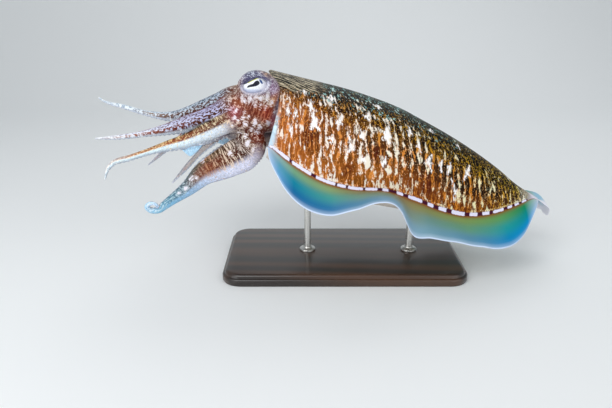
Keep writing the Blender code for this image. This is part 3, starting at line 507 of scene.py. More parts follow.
def sheet(seed, spread=None, width=0.26, size=1.0, soft=None):
    """A seamless square of pattern: waves of one spacing and a spread of directions, or soft clouds."""
    rows = np.fft.fftfreq(SHEET_SHAPE[0], PATCH)[:, None]
    columns = np.fft.fftfreq(SHEET_SHAPE[1], PATCH)[None]
    drawn = np.random.default_rng(seed).standard_normal(SHEET_SHAPE)
    if soft:
        band = np.exp(-((rows * soft[0] * 2) ** 2) - (columns * soft[1] * 2) ** 2)
        drawn = np.fft.ifft2(np.fft.fft2(drawn) * band).real
        return drawn / drawn.std()
    pitch = np.hypot(rows, columns) * size
    angle = np.arctan2(np.abs(columns), np.abs(rows) + 1e-9)
    band = np.exp(-(((pitch - 1) / width) ** 2) / 2 - (angle / spread) ** 2 / 2)
    for _ in range(SHEET_ROUNDS):
        drawn = np.fft.ifft2(np.fft.fft2(drawn) * band).real
        drawn = np.tanh(2.0 * drawn / drawn.std())
    drawn = np.fft.ifft2(np.fft.fft2(drawn) * band).real
    return drawn / drawn.std()


def lay(pattern, across, down):
    """A pattern sheet read at many places, its cells blended."""
    a, b = across / PATCH, down / PATCH
    i, j = np.floor(a).astype(int), np.floor(b).astype(int)
    s, t = a - i, b - j
    i0, i1 = i % pattern.shape[0], (i + 1) % pattern.shape[0]
    j0, j1 = j % pattern.shape[1], (j + 1) % pattern.shape[1]
    return mix(mix(pattern[i0, j0], pattern[i1, j0], s), mix(pattern[i0, j1], pattern[i1, j1], s), t)


def mix(first, second, share):
    """From the first at a share of 0 to the second at 1."""
    return first * (1 - share) + second * share


def blend(first, second, share):
    """Two colours mixed. Each is a hex code or an array."""
    first, second = (np.array(linear(c)) if isinstance(c, str) else c for c in (first, second))
    return mix(first, second, share[..., None])


def colour_rows(table, at):
    """For each colour column of a table, its value at many places."""
    places = [row[0] for row in table]
    columns = []
    for k in range(1, len(table[0])):
        values = np.array([linear(row[k]) for row in table])
        columns.append(np.stack([np.interp(at, places, values[:, c]) for c in range(4)], -1))
    return columns


steps = np.arange(RINGS) / (RINGS - 1)
shares = 1 - (1 - steps) ** RING_CROWDING
left, right = half_section(shares, -1), half_section(shares, 1)
body = np.concatenate([left, right[:, -2:0:-1]], 1)
half_count, ring_count = left.shape[1], body.shape[1]
middle = np.array((0.0, 0.0, (MANTLE_STATIONS[0][2] + MANTLE_STATIONS[0][4]) / 2))
lip = []
for scale, depth in MARGIN_ROLL:
    ring = middle + (body[0] - middle) * scale
    ring[:, 0] = body[0, :, 0] + depth
    lip.append(ring)
lip[-1][:, 0] = MARGIN_FLOOR
rows = np.array([*reversed(lip), *body])
lips = len(lip)

# Each column's own mirror image on the left half, so both sides are marked from one set of places
column = np.arange(ring_count)
mirror = np.where(column < half_count, column, 2 * (half_count - 1) - column)
is_right = column >= half_count
share_of = np.concatenate([np.zeros(lips), shares])[:, None] * np.ones(ring_count)[None]
steps_round = np.linalg.norm(np.diff(rows[:, :half_count], axis=1), axis=-1)
from_back = np.concatenate([np.zeros((len(rows), 1)), np.cumsum(steps_round, 1)], 1)[:, mirror]
flank_height = from_back[:, FLANK_STEPS - 1][:, None]
above = flank_height - from_back  # metres above the fin's root, along the skin
fin_end = FLANK_STEPS + len(FIN_OVER) + 1 + len(FIN_UNDER)
part = np.where(mirror < FLANK_STEPS, 0, np.where(mirror < fin_end, 1, 2))[None] * np.ones_like(above)
out_of = np.zeros(ring_count)
span = [*FIN_OVER, 1.0, *FIN_UNDER]
for k, value in enumerate(span):
    out_of[mirror == FLANK_STEPS + k] = value
out_of = out_of[None] * np.ones_like(above)
under_fin = (mirror >= FLANK_STEPS + len(FIN_OVER) + 1)[None] & (part == 1)

spacing_x = np.linspace(-0.03, 0.40, 2000)
spacing = np.interp(spacing_x / MANTLE_LENGTH, *zip(*STRIPE_SPACING)) / MM
counted = np.concatenate([[0], np.cumsum(np.diff(spacing_x) / ((spacing[1:] + spacing[:-1]) / 2))])
lean = np.interp(share_of, *zip(*STRIPE_LEAN))
slanted = rows[..., 0] + lean * above
across = np.interp(slanted, spacing_x, counted)
down = np.where(is_right[None], 1, -1) * from_back / PATTERN_DOWN
across = across + 0.16 * lay(sheet(1, soft=(0.5, 0.9)), across, down)
bars = lay(sheet(7, spread=0.50, width=0.32), across, down * 0.62)
network = lay(sheet(9, spread=1.3, width=0.25, size=0.66), across, down * 1.1)
rootlets = lay(sheet(11, spread=0.40, width=0.30), across * 1.75, down * 0.9)
height = np.clip(above / flank_height, 0, 1)
crown = smooth_step(height, 0.46, 0.64)
top = smooth_step(height, 0.64, 0.76) * (1 - smooth_step(share_of, 0.55, 0.85))
grain_top = smooth_step(height - 1.2 * share_of, 0.56, 0.64) * (1 - smooth_step(share_of, 0.09, 0.16))
roots = (1 - smooth_step(above, 0.006, 0.015)) * smooth_step(share_of, 0.04, 0.12)
front = 1 - smooth_step(share_of, 0.10, 0.26)
tip = smooth_step(share_of, 0.928, 0.960)
stripe = bars * (1 - 0.70 * crown) * (1 - 0.7 * roots) + 0.95 * network * crown + 0.95 * rootlets * roots
stripe += 0.20 * lay(sheet(4, soft=(0.28, 0.45)), across, down) - 1.6 * grain_top - 0.65 * top - 2.5 * tip
stripe -= 0.35 * crown + 0.20 * smooth_step(share_of, 0.45, 0.65) * smooth_step(height, 0.2, 0.4)
core = lay(sheet(3, soft=(0.6, 0.8)), across, down)
cloud = lay(sheet(5, soft=(2.5, 2.5)), across, down)
cream = stripe + 0.75 * core - 0.35 * crown + 0.25 * smooth_step(share_of, 0.85, 0.95)
cream = np.minimum(cream, 1.5 + 1.4 * core)
rear = smooth_step(share_of, 0.38, 0.58) * (1 - smooth_step(share_of, 0.86, 0.94))
cream = cream - 0.75 * rear * smooth_step(height, 0.10, 0.30)

# Along the fin line the lower ends of the stripes join in a cream thread above the line of dashes
thickness = np.interp(share_of, *zip(*DASH_WIDTH))
thread = np.abs(above * MM - thickness - 0.9)
stripe = np.maximum(stripe, 1.5 - 1.3 * thread + 0.3 * core - 2.5 * tip)
cream = np.maximum(cream - 0.35 * roots, 1.9 - 2.6 * thread + 0.5 * core - 2.5 * tip)

# White blotches, each of a few tapering strokes that leave its middle
blotches = np.full(rows.shape[:2], NOWHERE)
draw = np.random.default_rng(21)
for share, level, size, upright in WHITE_BLOTCHES:
    for on_right in (False, True):
        moved = share + 0.010 * draw.uniform(-1, 1) * on_right
        dx = (rows[..., 0] - MANTLE_LENGTH * moved) * MM
        dz = (above - flank_height * level) * MM
        dx = dx + STRIPE_LEAN[1][1] * dz
        for turn in STROKES:
            turn = math.radians(turn + draw.uniform(-STROKE_SWING, STROKE_SWING))
            length = size * draw.uniform(0.50, 0.95) * (upright if abs(math.sin(turn)) > 0.8 else 0.80)
            c, s = math.cos(turn), math.sin(turn)
            t = np.clip((dx * c + dz * s) / length, 0, 1)
            away = np.hypot(dx - t * length * c, dz - t * length * s) - size * (0.27 - 0.18 * t)
            blotches = np.where(is_right[None] == on_right, np.minimum(blotches, away), blotches)
patches = np.zeros(rows.shape[:2])
for share, level, size in DARK_PATCHES:
    dx = (rows[..., 0] - MANTLE_LENGTH * share) * MM
    dz = (above - flank_height * level) * MM
    patches = np.maximum(patches, np.exp(-((np.hypot(dx, dz * 0.7) / size) ** 2)))
blotches = np.where(part == 0, blotches, NOWHERE)

along = share_of * MANTLE_LENGTH * MM
dash = np.full(rows.shape[:2], NOWHERE)
for start, end in DASHES:
    centre, half = (start + end) / 2 * MANTLE_LENGTH * MM, (end - start) / 2 * MANTLE_LENGTH * MM
    dash = np.minimum(dash, np.abs(along - centre) - half)
band = np.abs(above * MM - thickness * 0.5 + 0.6) - thickness * 0.5
dash = np.maximum(dash, band)

low, mid, high, edge_low, edge_high, core_colour = colour_rows(FLANK_COLOURS, share_of)
ground = blend(blend(low, mid, smooth_step(height, 0.12, 0.36)), high, smooth_step(height, 0.44, 0.70))
ground = blend(ground, ground * 0.5, smooth_step(cloud, 0.2, 1.5) * 0.7)
ground = blend(ground, "551c08", patches * 0.85)
stripe = stripe - 0.8 * patches
cream = cream - 1.8 * patches
edge = blend(edge_low, edge_high, smooth_step(height, 0.35, 0.62))
teal = smooth_step(height, 0.72, 0.90) * (1 - smooth_step(share_of, 0.50, 0.75))
core_colour = blend(core_colour, "a9e0de", teal * 0.8)
edge = blend(edge, "4c7a66", teal * 0.60)

margin_mm = (rows[..., 0] - rows[lips, :, 0][None]) * MM
margin_wide = np.interp(height, *zip(*PALE_MARGIN))
pale_margin = (1 - smooth_step(margin_mm / margin_wide, 0.2, 1.1)) * (1 - smooth_step(height, 0.18, 0.48))
ground = blend(ground, "c2daea", pale_margin)
stripe, cream = stripe - 1.6 * pale_margin, cream - 1.6 * pale_margin

inner, central, outer = colour_rows(FIN_COLOURS, share_of)
rim = "d9e8ff"
fin_ground = blend("8a5428", inner, smooth_step(out_of, 0.02, 0.16))
fin_ground = blend(fin_ground, central, smooth_step(out_of, 0.18, 0.52))
fin_ground = blend(fin_ground, outer, smooth_step(out_of, 0.50, 0.84))
fin_ground = blend(fin_ground, blend(outer, rim, np.full(above.shape, 0.28)), smooth_step(out_of, 0.84, 0.95))
fin_ground = blend(fin_ground, rim, smooth_step(out_of, 0.95, 0.985))
hook = smooth_step(rows[..., 0], MANTLE_LENGTH - 0.004, MANTLE_LENGTH + 0.006) * is_right[None]
curled = blend("9ccbe2", "f8f6ff", smooth_step(out_of, 0.66, 0.86))
fin_ground = blend(fin_ground, curled, hook * 0.95)
belly_ground = blend("e6ddd2", "b9a7a8", smooth_step(cloud, 0.3, 1.6) * 0.35)
fin_ground = np.where(under_fin[..., None], blend(fin_ground, belly_ground, 0.25 * (1 - hook)), fin_ground)
ground = np.where((part == 1)[..., None], fin_ground, np.where((part == 2)[..., None], belly_ground, ground))
inside = np.arange(len(rows)) < lips - 2
ground[inside] = linear("c9b9bf")
on_flank = np.where((part == 0) & ~inside[:, None], 1.0, 0.0)
stripe = np.where(on_flank > 0, stripe, -4.0)
cream = np.where(on_flank > 0, cream, -4.0)
blotches[inside] = NOWHERE
dash = np.where(part == 2, NOWHERE, dash)
band = np.where(part == 2, NOWHERE, band)
dash[:lips], band[:lips] = NOWHERE, NOWHERE
band = band + FAR * smooth_step(share_of, 0.948, 0.962)
speckle = on_flank * smooth_step(height, 0.06, 0.2) * (1 - 0.9 * top) * (1 - tip) + 0.3 * (part == 2)

# Weights of the finer marks: threads between the stripes, gold net, wood-grain lines and teal dots of painted
# highlight
quiet = on_flank * (1 - pale_margin) * (1 - tip)
marks_of = np.stack([
    quiet * (0.35 + 0.65 * np.maximum(roots, front)) * (1 - crown),
    quiet * smooth_step(height, 0.42, 0.56) * (1 - grain_top) * (1 - 0.45 * top),
    quiet * grain_top,
    # The last weight places the painted highlight: pale teal glints of wet skin along the upper flank and
    # crest
    0.9 * quiet * smooth_step(height, 0.60, 0.72) * (1 - smooth_step(share_of, 0.45, 0.75)) * (1 - grain_top),
], -1)
skin_place = np.stack([slanted * MM, above * MM, np.zeros(above.shape)], -1)

fields = {
    "ground": ground, "edge": edge, "core": core_colour, "stripe": stripe, "cream": cream, "blotch": blotches,
    "dash": dash, "band": band, "speckle": speckle, "skin": skin_place, "marks": marks_of,
}


def set_attribute(mesh, name, values):
    """Numbers, vectors or colours given to a mesh, one for each point."""
    values = np.asarray(values, float)
    width = values.shape[-1] if values.ndim > 1 else 1
    kind, key = {1: ("FLOAT", "value"), 3: ("FLOAT_VECTOR", "vector"), 4: ("FLOAT_COLOR", "color")}[width]
    mesh.attributes.new(name, kind, "POINT").data.foreach_set(key, values.ravel())


# Cast silicone, painted in layers under a thin moist gel coat: a brown ground with pale pin-point
# dots 0.5 mm wide, stripes whose orange edge softens into a cream core, and shallow wrinkles 2 mm
# apart. Noise that follows the skin makes the stripes ragged and draws the finest lines.
skin, tree, where = empty_material("painted_silicone_mantle")
given = {name: add(tree, "ShaderNodeAttribute", {"attribute_name": name}) for name in fields}
parts = add(tree, "ShaderNodeSeparateColor", n0=given["marks"].outputs["Color"])

# Noise on the skin's own millimetres, along the body and up the flank
noise = {}
for label, along, up, detail, distortion in (
    ("threads", 0.30, 0.062, 1.0, 0.3),
    ("net", 0.20, 0.135, 1.0, 0.3),
    ("grain", 0.060, 0.75, 1.0, 1.3),
    ("fine", 0.74, 0.27, 2.5, 0.5),
    ("breaks", 0.22, 0.090, 1.0, 0.0),
    ("painted_glints", 0.26, 0.33, 2.0, 0.8),
):
    placed = add(tree, "ShaderNodeMapping", Vector=given["skin"].outputs["Vector"], Scale=(along, up, 1.0))
    noise[label] = add(tree, "ShaderNodeTexNoise", {"noise_dimensions": "2D"}, Vector=placed, Scale=1.0,
                       Detail=detail, Distortion=distortion)
for label, scale, detail in (("ragged", 650.0, 3.0), ("mottle", 260.0, 2.0), ("wrinkle", 420.0, 4.0)):
    noise[label] = add(tree, "ShaderNodeTexNoise", Vector=where, Scale=scale, Detail=detail)

# Distance from the middle line of two of them, and edges made ragged by the others
edges = {}
for label in ("threads", "net"):
    centred = add(tree, "ShaderNodeMath", {"operation": "SUBTRACT"}, n0=noise[label], n1=0.5)
    edges[label] = add(tree, "ShaderNodeMath", {"operation": "ABSOLUTE"}, n0=centred)
for label, source, strength in (
    ("stripe", "fine", 5.0), ("stripe", "ragged", 2.4), ("cream", "fine", 6.0), ("cream", "ragged", 4.0),
    ("cream", "breaks", 4.4), ("blotch", "fine", 6.0), ("blotch", "ragged", 3.5), ("dash", "ragged", 1.6),
):
    centred = add(tree, "ShaderNodeMath", {"operation": "SUBTRACT"}, n0=noise[source], n1=0.5)
    before = edges.get(label, given[label].outputs["Fac"])
    edges[label] = add(tree, "ShaderNodeMath", {"operation": "MULTIPLY_ADD"}, n0=centred, n1=strength,
                       n2=before)

tone = add(tree, "ShaderNodeMapRange", n0=noise["mottle"], n1=0.3, n2=0.7, n3=0.60, n4=1.30)
mottled = add(tree, "ShaderNodeVectorMath", {"operation": "SCALE"}, n0=given["ground"].outputs["Color"],
              Scale=tone)
pins = add(tree, "ShaderNodeTexVoronoi", Vector=where, Scale=560.0)
paint = paint_over(tree, given["ground"].outputs["Color"], (
    (noise["mottle"], 0.0, 0.001, 1.0, given["speckle"].outputs["Fac"], mottled),
    (pins.outputs["Distance"], 0.28, 0.14, 1.0, given["speckle"].outputs["Fac"], linear("cca070")),
    (edges["threads"], 0.028, 0.008, 1.0, parts.outputs[0], given["edge"].outputs["Color"]),
    (edges["net"], 0.024, 0.006, 1.0, parts.outputs[1], given["edge"].outputs["Color"]),
    (noise["grain"], 0.52, 0.61, 1.0, parts.outputs[2], linear("d2c4a6")),
    (edges["stripe"], 0.42, 1.07, 1.0, 1.0, given["edge"].outputs["Color"]),
    (edges["cream"], 0.40, 1.40, 1.0, 0.45, given["core"].outputs["Color"]),
    (edges["cream"], 1.10, 2.00, 1.0, 1.0, given["core"].outputs["Color"]),
    # Painted highlight: pale teal glints of wet skin, dotted along the crest
    (noise["painted_glints"], 0.64, 0.69, 1.0, given["marks"].outputs["Alpha"], linear("9cd6d4")),
    (edges["blotch"], 0.75, -0.60, 1.0, 1.0, linear("fbf7f6")),
    (given["band"].outputs["Fac"], 0.35, -0.35, 1.0, 1.0, linear("46142c")),
    (edges["dash"], 0.30, -0.35, 1.0, 1.0, linear("ebe8ff")),
))

relief = add(tree, "ShaderNodeBump", Height=noise["wrinkle"], Strength=0.22, Distance=0.0008)
rough = add(tree, "ShaderNodeMapRange", n0=noise["wrinkle"], n1=0.3, n2=0.7, n3=0.42, n4=0.60)
shader = add(tree, "ShaderNodeBsdfPrincipled", Base_Color=paint, Roughness=rough, IOR=1.41,
             Specular_IOR_Level=0.09, Coat_Weight=0.03, Coat_Roughness=0.22, Normal=relief)
add(tree, "ShaderNodeOutputMaterial", Surface=shader)

points = np.concatenate([rows.reshape(-1, 3), [rows[0].mean(0)], [rows[-1].mean(0)]])


def with_poles(values):
    """The skin's values in one row, and at its end those of the two poles."""
    flat = values.reshape(len(rows) * ring_count, -1)
    full = np.concatenate([flat, flat[:1], flat[-1:]])
    return full if values.ndim == 3 else full[:, 0]


mantle = new_object("mantle_and_fins", to_world(points), loft_faces(len(rows), ring_count, poles=True), skin)
for name, values in fields.items():
    set_attribute(mantle.data, name, with_poles(values))
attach(mantle, "root")
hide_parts("mantle", "fin_left_front", "fin_left_middle", "fin_left_rear",
            "fin_right_front", "fin_right_middle", "fin_right_rear")

# Head and arms
# One skin over the head and its eight arms: swellings for the eyes with a fold of lid round each, short
# webs where the arms spring, thin membranes along the suckered faces and a keel on the fourth arms.

HEAD_STATIONS = (  # distance back from the mantle's front, half width, heights of top and underside
    (0.0215, 0.033, 0.028, -0.010),
    (0.0085, 0.034, 0.029, -0.011),
    (0.0000, 0.037, 0.032, -0.013),
    (-0.0060, 0.043, 0.034, -0.017),
    (-0.0160, 0.047, 0.0355, -0.023),
    (-0.0280, 0.044, 0.035, -0.029),
    (-0.0390, 0.035, 0.026, -0.033),
    (-0.0460, 0.026, 0.015, -0.031),
    (-0.0520, 0.015, 0.005, -0.025),
)
HEAD_SHOULDER = 0.74
HEAD_TWIST, HEAD_TWIST_START, HEAD_TWIST_LENGTH = math.radians(-9), 0.0085, 0.022
EYE_CENTRE, EYE_RADIUS = np.array((-0.0266, 0.0370, 0.0255)), 0.0135
EYE_OPENING, EYE_TILT = (0.0115, 0.0066), math.radians(28)
EYE_BULGE_CENTRE = np.array((-0.0228, 0.0348, 0.0240))
EYE_BULGE_RADII = np.array((0.0195, 0.0180, 0.0164))
LID_THICK = 0.0015
EYE_FOLDS = ((LID_THICK * 0.9, LID_THICK), (0.0050, 0.0009))  # place outside the opening, half thickness
EYE_REGION = (-0.002, 0.012, -0.004)  # where an eye is worked out: ahead, outwards and up of this
SOCKET_FLOOR = 0.006  # outwards from the eye's centre
BULGE_MELT, FOLD_MELT, SOCKET_MELT = 0.0080, 0.0016, 0.0010
VOXEL, FIELD_LIMIT, SLOPE_STEP, LONGEST_MOVE = 0.00091, 0.01, 0.0003, 0.0006
HEAD_LOW, HEAD_HIGH = (-0.088, -0.066, -0.078), (0.0225, 0.066, 0.052)
LEAST_RATIO = 0.05  # under it a point counts as deep inside
WEB = 0.0050  # radius over which neighbouring forms melt into each other

ARM_LINES = {  # points of the centreline: back, outwards, up
    (-1, 1): (
        (-0.026, 0.009, 0.0170), (-0.044, 0.0125, 0.0125), (-0.064, 0.020, -0.0010),
        (-0.080, 0.023, -0.0145), (-0.0975, 0.025, -0.0228), (-0.1165, 0.026, -0.0263),
        (-0.141, 0.027, -0.0267), (-0.162, 0.028, -0.0266), (-0.166, 0.028, -0.0252),
    ),
    (-1, 2): (
        (-0.026, 0.025, 0.0140), (-0.043, 0.029, 0.0060), (-0.0565, 0.033, -0.0045),
        (-0.0765, 0.037, -0.0195), (-0.097, 0.040, -0.0325), (-0.114, 0.041, -0.0420),
        (-0.1355, 0.043, -0.0520), (-0.1575, 0.044, -0.0605),
    ),
    (-1, 3): (
        (-0.022, 0.030, 0.0040), (-0.039, 0.035, -0.0075), (-0.052, 0.040, -0.0180),
        (-0.064, 0.044, -0.0275), (-0.076, 0.046, -0.0365), (-0.092, 0.048, -0.0465),
        (-0.104, 0.050, -0.0545), (-0.1205, 0.052, -0.0660), (-0.135, 0.053, -0.0765),
        (-0.138, 0.054, -0.0840), (-0.138, 0.055, -0.0940),
    ),
    (-1, 4): (
        (-0.0145, 0.033, -0.0150), (-0.0175, 0.038, -0.0310), (-0.0275, 0.042, -0.0410),
        (-0.0375, 0.045, -0.0500), (-0.0495, 0.048, -0.0612), (-0.061, 0.050, -0.0800),
        (-0.0744, 0.052, -0.0977), (-0.0789, 0.052, -0.1040), (-0.0839, 0.052, -0.1103),
        (-0.0903, 0.052, -0.1126), (-0.0945, 0.052, -0.1103), (-0.0928, 0.052, -0.1061),
        (-0.0882, 0.052, -0.1046), (-0.0844, 0.052, -0.1060),
    ),
    (1, 1): (
        (-0.026, 0.009, 0.0160), (-0.044, 0.0135, 0.0090), (-0.064, 0.020, -0.0095),
        (-0.088, 0.024, -0.0330), (-0.114, 0.028, -0.0560), (-0.138, 0.030, -0.0710),
        (-0.158, 0.031, -0.0790),
    ),
    (1, 2): (
        (-0.026, 0.025, 0.0100), (-0.042, 0.029, 0.0010), (-0.056, 0.038, -0.0140),
        (-0.0735, 0.043, -0.0360), (-0.092, 0.046, -0.0610), (-0.108, 0.047, -0.0850),
        (-0.120, 0.046, -0.1040),
    ),
    (1, 3): (
        (-0.022, 0.029, -0.0010), (-0.037, 0.035, -0.0150), (-0.047, 0.044, -0.0330),
        (-0.060, 0.050, -0.0560), (-0.072, 0.053, -0.0800), (-0.082, 0.053, -0.1010),
        (-0.090, 0.050, -0.1180),
    ),
    (1, 4): (
        (-0.0145, 0.031, -0.0180), (-0.0190, 0.036, -0.0350), (-0.025, 0.042, -0.0520),
        (-0.035, 0.046, -0.0700), (-0.045, 0.048, -0.0890), (-0.055, 0.048, -0.1070),
        (-0.065, 0.045, -0.1210),
    ),
}
ARM_GIRTHS = {  # share of the arm's length, half width across the suckered face, half thickness
    1: (
        (0.00, 0.0125, 0.0100), (0.14, 0.0102, 0.0085), (0.25, 0.0072, 0.0062), (0.42, 0.0064, 0.0058),
        (0.55, 0.0038, 0.0034), (0.68, 0.0022, 0.0019), (0.88, 0.0015, 0.0013), (1.00, 0.0004, 0.0004),
    ),
    2: (
        (0.00, 0.0135, 0.0110), (0.14, 0.0105, 0.0088), (0.25, 0.0074, 0.0062), (0.42, 0.0064, 0.0056),
        (0.56, 0.0042, 0.0036), (0.70, 0.0024, 0.0020), (0.88, 0.0016, 0.0014), (1.00, 0.0004, 0.0004),
    ),
    3: (
        (0.00, 0.0140, 0.0115), (0.18, 0.0102, 0.0084), (0.34, 0.0074, 0.0058), (0.50, 0.0048, 0.0038),
        (0.64, 0.0028, 0.0022), (0.86, 0.0021, 0.0018), (1.00, 0.0005, 0.0005),
    ),
    4: (
        (0.00, 0.0130, 0.0080), (0.12, 0.0170, 0.0085), (0.28, 0.0148, 0.0075), (0.44, 0.0106, 0.0060),
        (0.58, 0.0070, 0.0048), (0.66, 0.0055, 0.0042), (0.72, 0.0046, 0.0038), (0.80, 0.0037, 0.0033),
        (0.86, 0.0026, 0.0025), (0.93, 0.0021, 0.0020), (1.00, 0.0013, 0.0013),
    ),
}
ARM_ORAL = {1: (0, 0.35, -1.0), 2: (0, 0.60, -0.8), 3: (0, 0.80, -0.6), 4: (0, 1.0, 0.25)}
ARM_SAMPLES = 400
BLOCK = 40000  # points measured at a time
ROOT_SAMPLES, ROOT_MARGIN, ARM_MARGIN = 150, 0.022, 0.03  # an arm's part in the head, reach of both
STUB_END = 0.36  # share up to which the head's skin covers an arm, getting thinner from STUB_FADE on
STUB_FADE, STUB_THINNING, STUB_ORAL = 0.27, 0.45, 0.8
TUBE_START, TUBE_FULL = 0.17, 0.27
TUBE_SIDES, TUBE_STEP, TUBE_CROWDING = 36, 0.0011, 1.12
TIP_ROUNDING, RUFFLE_LENGTH, MEMBRANE_FOOT = 0.0012, 0.0042, 0.55
ARM_PROFILE = (  # round the arm, as shares of half width and half thickness; the suckers' side is up
    (1.00, -0.10), (0.93, -0.52), (0.66, -0.86), (0.26, -1.00), (-0.26, -1.00), (-0.66, -0.86),
    (-0.93, -0.52), (-1.00, -0.10), (-1.05, 0.32), (-1.20, 0.78), (-1.24, 1.06), (-1.06, 0.84),
    (-0.86, 0.58), (-0.45, 0.62), (0.0, 0.68), (0.45, 0.62), (0.86, 0.58), (1.06, 0.84), (1.24, 1.06),
    (1.20, 0.78), (1.05, 0.32),
)
KEEL_PROFILE = (  # the fourth arm: flat, with a keel on its lower edge
    (1.02, -0.06), (0.84, -0.30), (0.60, -0.66), (0.22, -0.94), (-0.24, -1.00), (-0.64, -0.86),
    (-0.90, -0.52), (-1.00, -0.10), (-1.00, 0.32), (-1.06, 0.74), (-1.08, 1.00), (-0.94, 0.80),
    (-0.78, 0.56), (-0.40, 0.62), (0.0, 0.66), (0.36, 0.60), (0.60, 0.52), (0.74, 0.66), (0.82, 0.80),
    (0.84, 0.52), (0.90, 0.20),
)
FLAP_SPAN, FLAP_STEPS, FLAP_ROWS = (0.300, 0.445), 30, 9
FLAP_START, FLAP_SWEEP, FLAP_DEPTH, FLAP_BOW, FLAP_TURN = 0.0045, 0.004, 0.0012, 0.0040, 2.2
FLAP_ROOT_HALF, FLAP_THINNING = 0.00045, 0.00020
FLAP_HANG = ((0.0, 0.0015), (0.25, 0.0055), (0.55, 0.0092), (0.8, 0.0098), (1.0, 0.0015))


def run_along(points):
    """Length along a line up to each of its points."""
    return np.concatenate([[0], np.cumsum(np.linalg.norm(np.diff(points, axis=0), axis=1))])


def square_gaps(points, line):
    """Squared distance from each point to each of a line's points."""
    return (points**2).sum(1)[:, None] - 2 * points @ line.T + (line**2).sum(1)[None]


class Arm:
    """One arm's centreline with a steady frame along it."""

    def __init__(self, key):
        self.side, self.number = key
        points = np.array(ARM_LINES[key]) * (1, self.side, 1)
        places = run_along(points)
        fine = along_rows(np.column_stack([places, points]), np.linspace(0, places[-1], ARM_SAMPLES))
        run = run_along(fine)
        even = np.linspace(0, run[-1], ARM_SAMPLES)
        self.length = run[-1]
        self.points = np.column_stack([np.interp(even, run, fine[:, k]) for k in range(3)])
        tangents = np.gradient(self.points, axis=0)
        self.tangents = tangents / np.linalg.norm(tangents, axis=1)[:, None]
        back, inwards, up = ARM_ORAL[self.number]
        oral = np.array((back, -self.side * inwards, up), float)
        orals = []
        for tangent in self.tangents:
            oral = oral - tangent * (oral @ tangent)
            oral = oral / np.linalg.norm(oral)
            orals.append(oral)
        self.orals = np.array(orals)
        self.acrosses = np.cross(self.tangents, self.orals)

    def at(self, share):
        """Centre, direction of the tip, of the suckered face and across, at many shares."""
        place = np.clip(share, 0, 1) * (ARM_SAMPLES - 1)
        i = np.minimum(place.astype(int), ARM_SAMPLES - 2)
        t = (place - i)[..., None]
        lines = (self.points, self.tangents, self.orals, self.acrosses)
        return [mix(line[i], line[i + 1], t) for line in lines]

    def measure(self, points, last_share=1.0):
        """For points near the arm: share of its length; places across, towards the suckers and
        ahead; and its half width and half thickness there."""
        last = int(last_share * (ARM_SAMPLES - 1))
        line = self.points[: last + 1 : 4]
        nearest = np.zeros(len(points), int)
        for start in range(0, len(points), BLOCK):
            block = slice(start, start + BLOCK)
            nearest[block] = square_gaps(points[block], line).argmin(1)
        share = nearest * 4 / (ARM_SAMPLES - 1)
        for _ in range(2):
            centre, tangent, oral, across = self.at(share)
            share = np.clip(share + ((points - centre) * tangent).sum(1) / self.length, 0, last_share)
        centre, tangent, oral, across = self.at(share)
        away = points - centre
        half_width, half_thick = columns_of(ARM_GIRTHS[self.number], share)
        sides = [(away * direction).sum(1) for direction in (across, oral, tangent)]
        return share, *sides, half_width, half_thick


arms = [Arm(key) for key in ARM_LINES]


def turn_head(points, angle):
    """Points turned about the body's axis by an angle, one for all or one for each."""
    c, s = np.cos(angle), np.sin(angle)
    return np.stack(
        [points[:, 0], points[:, 1] * c - points[:, 2] * s, points[:, 1] * s + points[:, 2] * c], -1
    )


def melt(first, second, radius):
    """The smooth union of two distances."""
    h = np.clip(0.5 + 0.5 * (second - first) / radius, 0, 1)
    return second * (1 - h) + first * h - radius * h * (1 - h)


def on_eye(long, short):
    """Back and up in the head's frame, from places along and across the eye's tilted oval."""
    c, s = math.cos(EYE_TILT), math.sin(EYE_TILT)
    return EYE_CENTRE[0] + long * c - short * s, EYE_CENTRE[2] + long * s + short * c


def lid_line(side, spread, count=48):
    """Points of the oval round an eye's opening, lying on the swelling, in the head's own frame."""
    a = np.arange(count) * 2 * math.pi / count
    x, z = on_eye((EYE_OPENING[0] + spread) * np.cos(a), (EYE_OPENING[1] + spread) * np.sin(a))
    back, up = x - EYE_BULGE_CENTRE[0], z - EYE_BULGE_CENTRE[2]
    inside = (back / EYE_BULGE_RADII[0]) ** 2 + (up / EYE_BULGE_RADII[2]) ** 2
    y = EYE_BULGE_CENTRE[1] + EYE_BULGE_RADII[1] * np.sqrt(np.maximum(1 - inside, 0))
    return np.stack([x, side * y, z], -1)


def near_line(points, line, margin):
    """Which points lie in a line's bounds, widened by a margin."""
    low, high = line.min(0) - margin, line.max(0) + margin
    return np.nonzero(((points > low) & (points < high)).all(1))[0]


def nearest_gap(points, line):
    """Distance of each point from the nearest of a line's points."""
    return np.sqrt(np.maximum(square_gaps(points, line).min(1), 0))


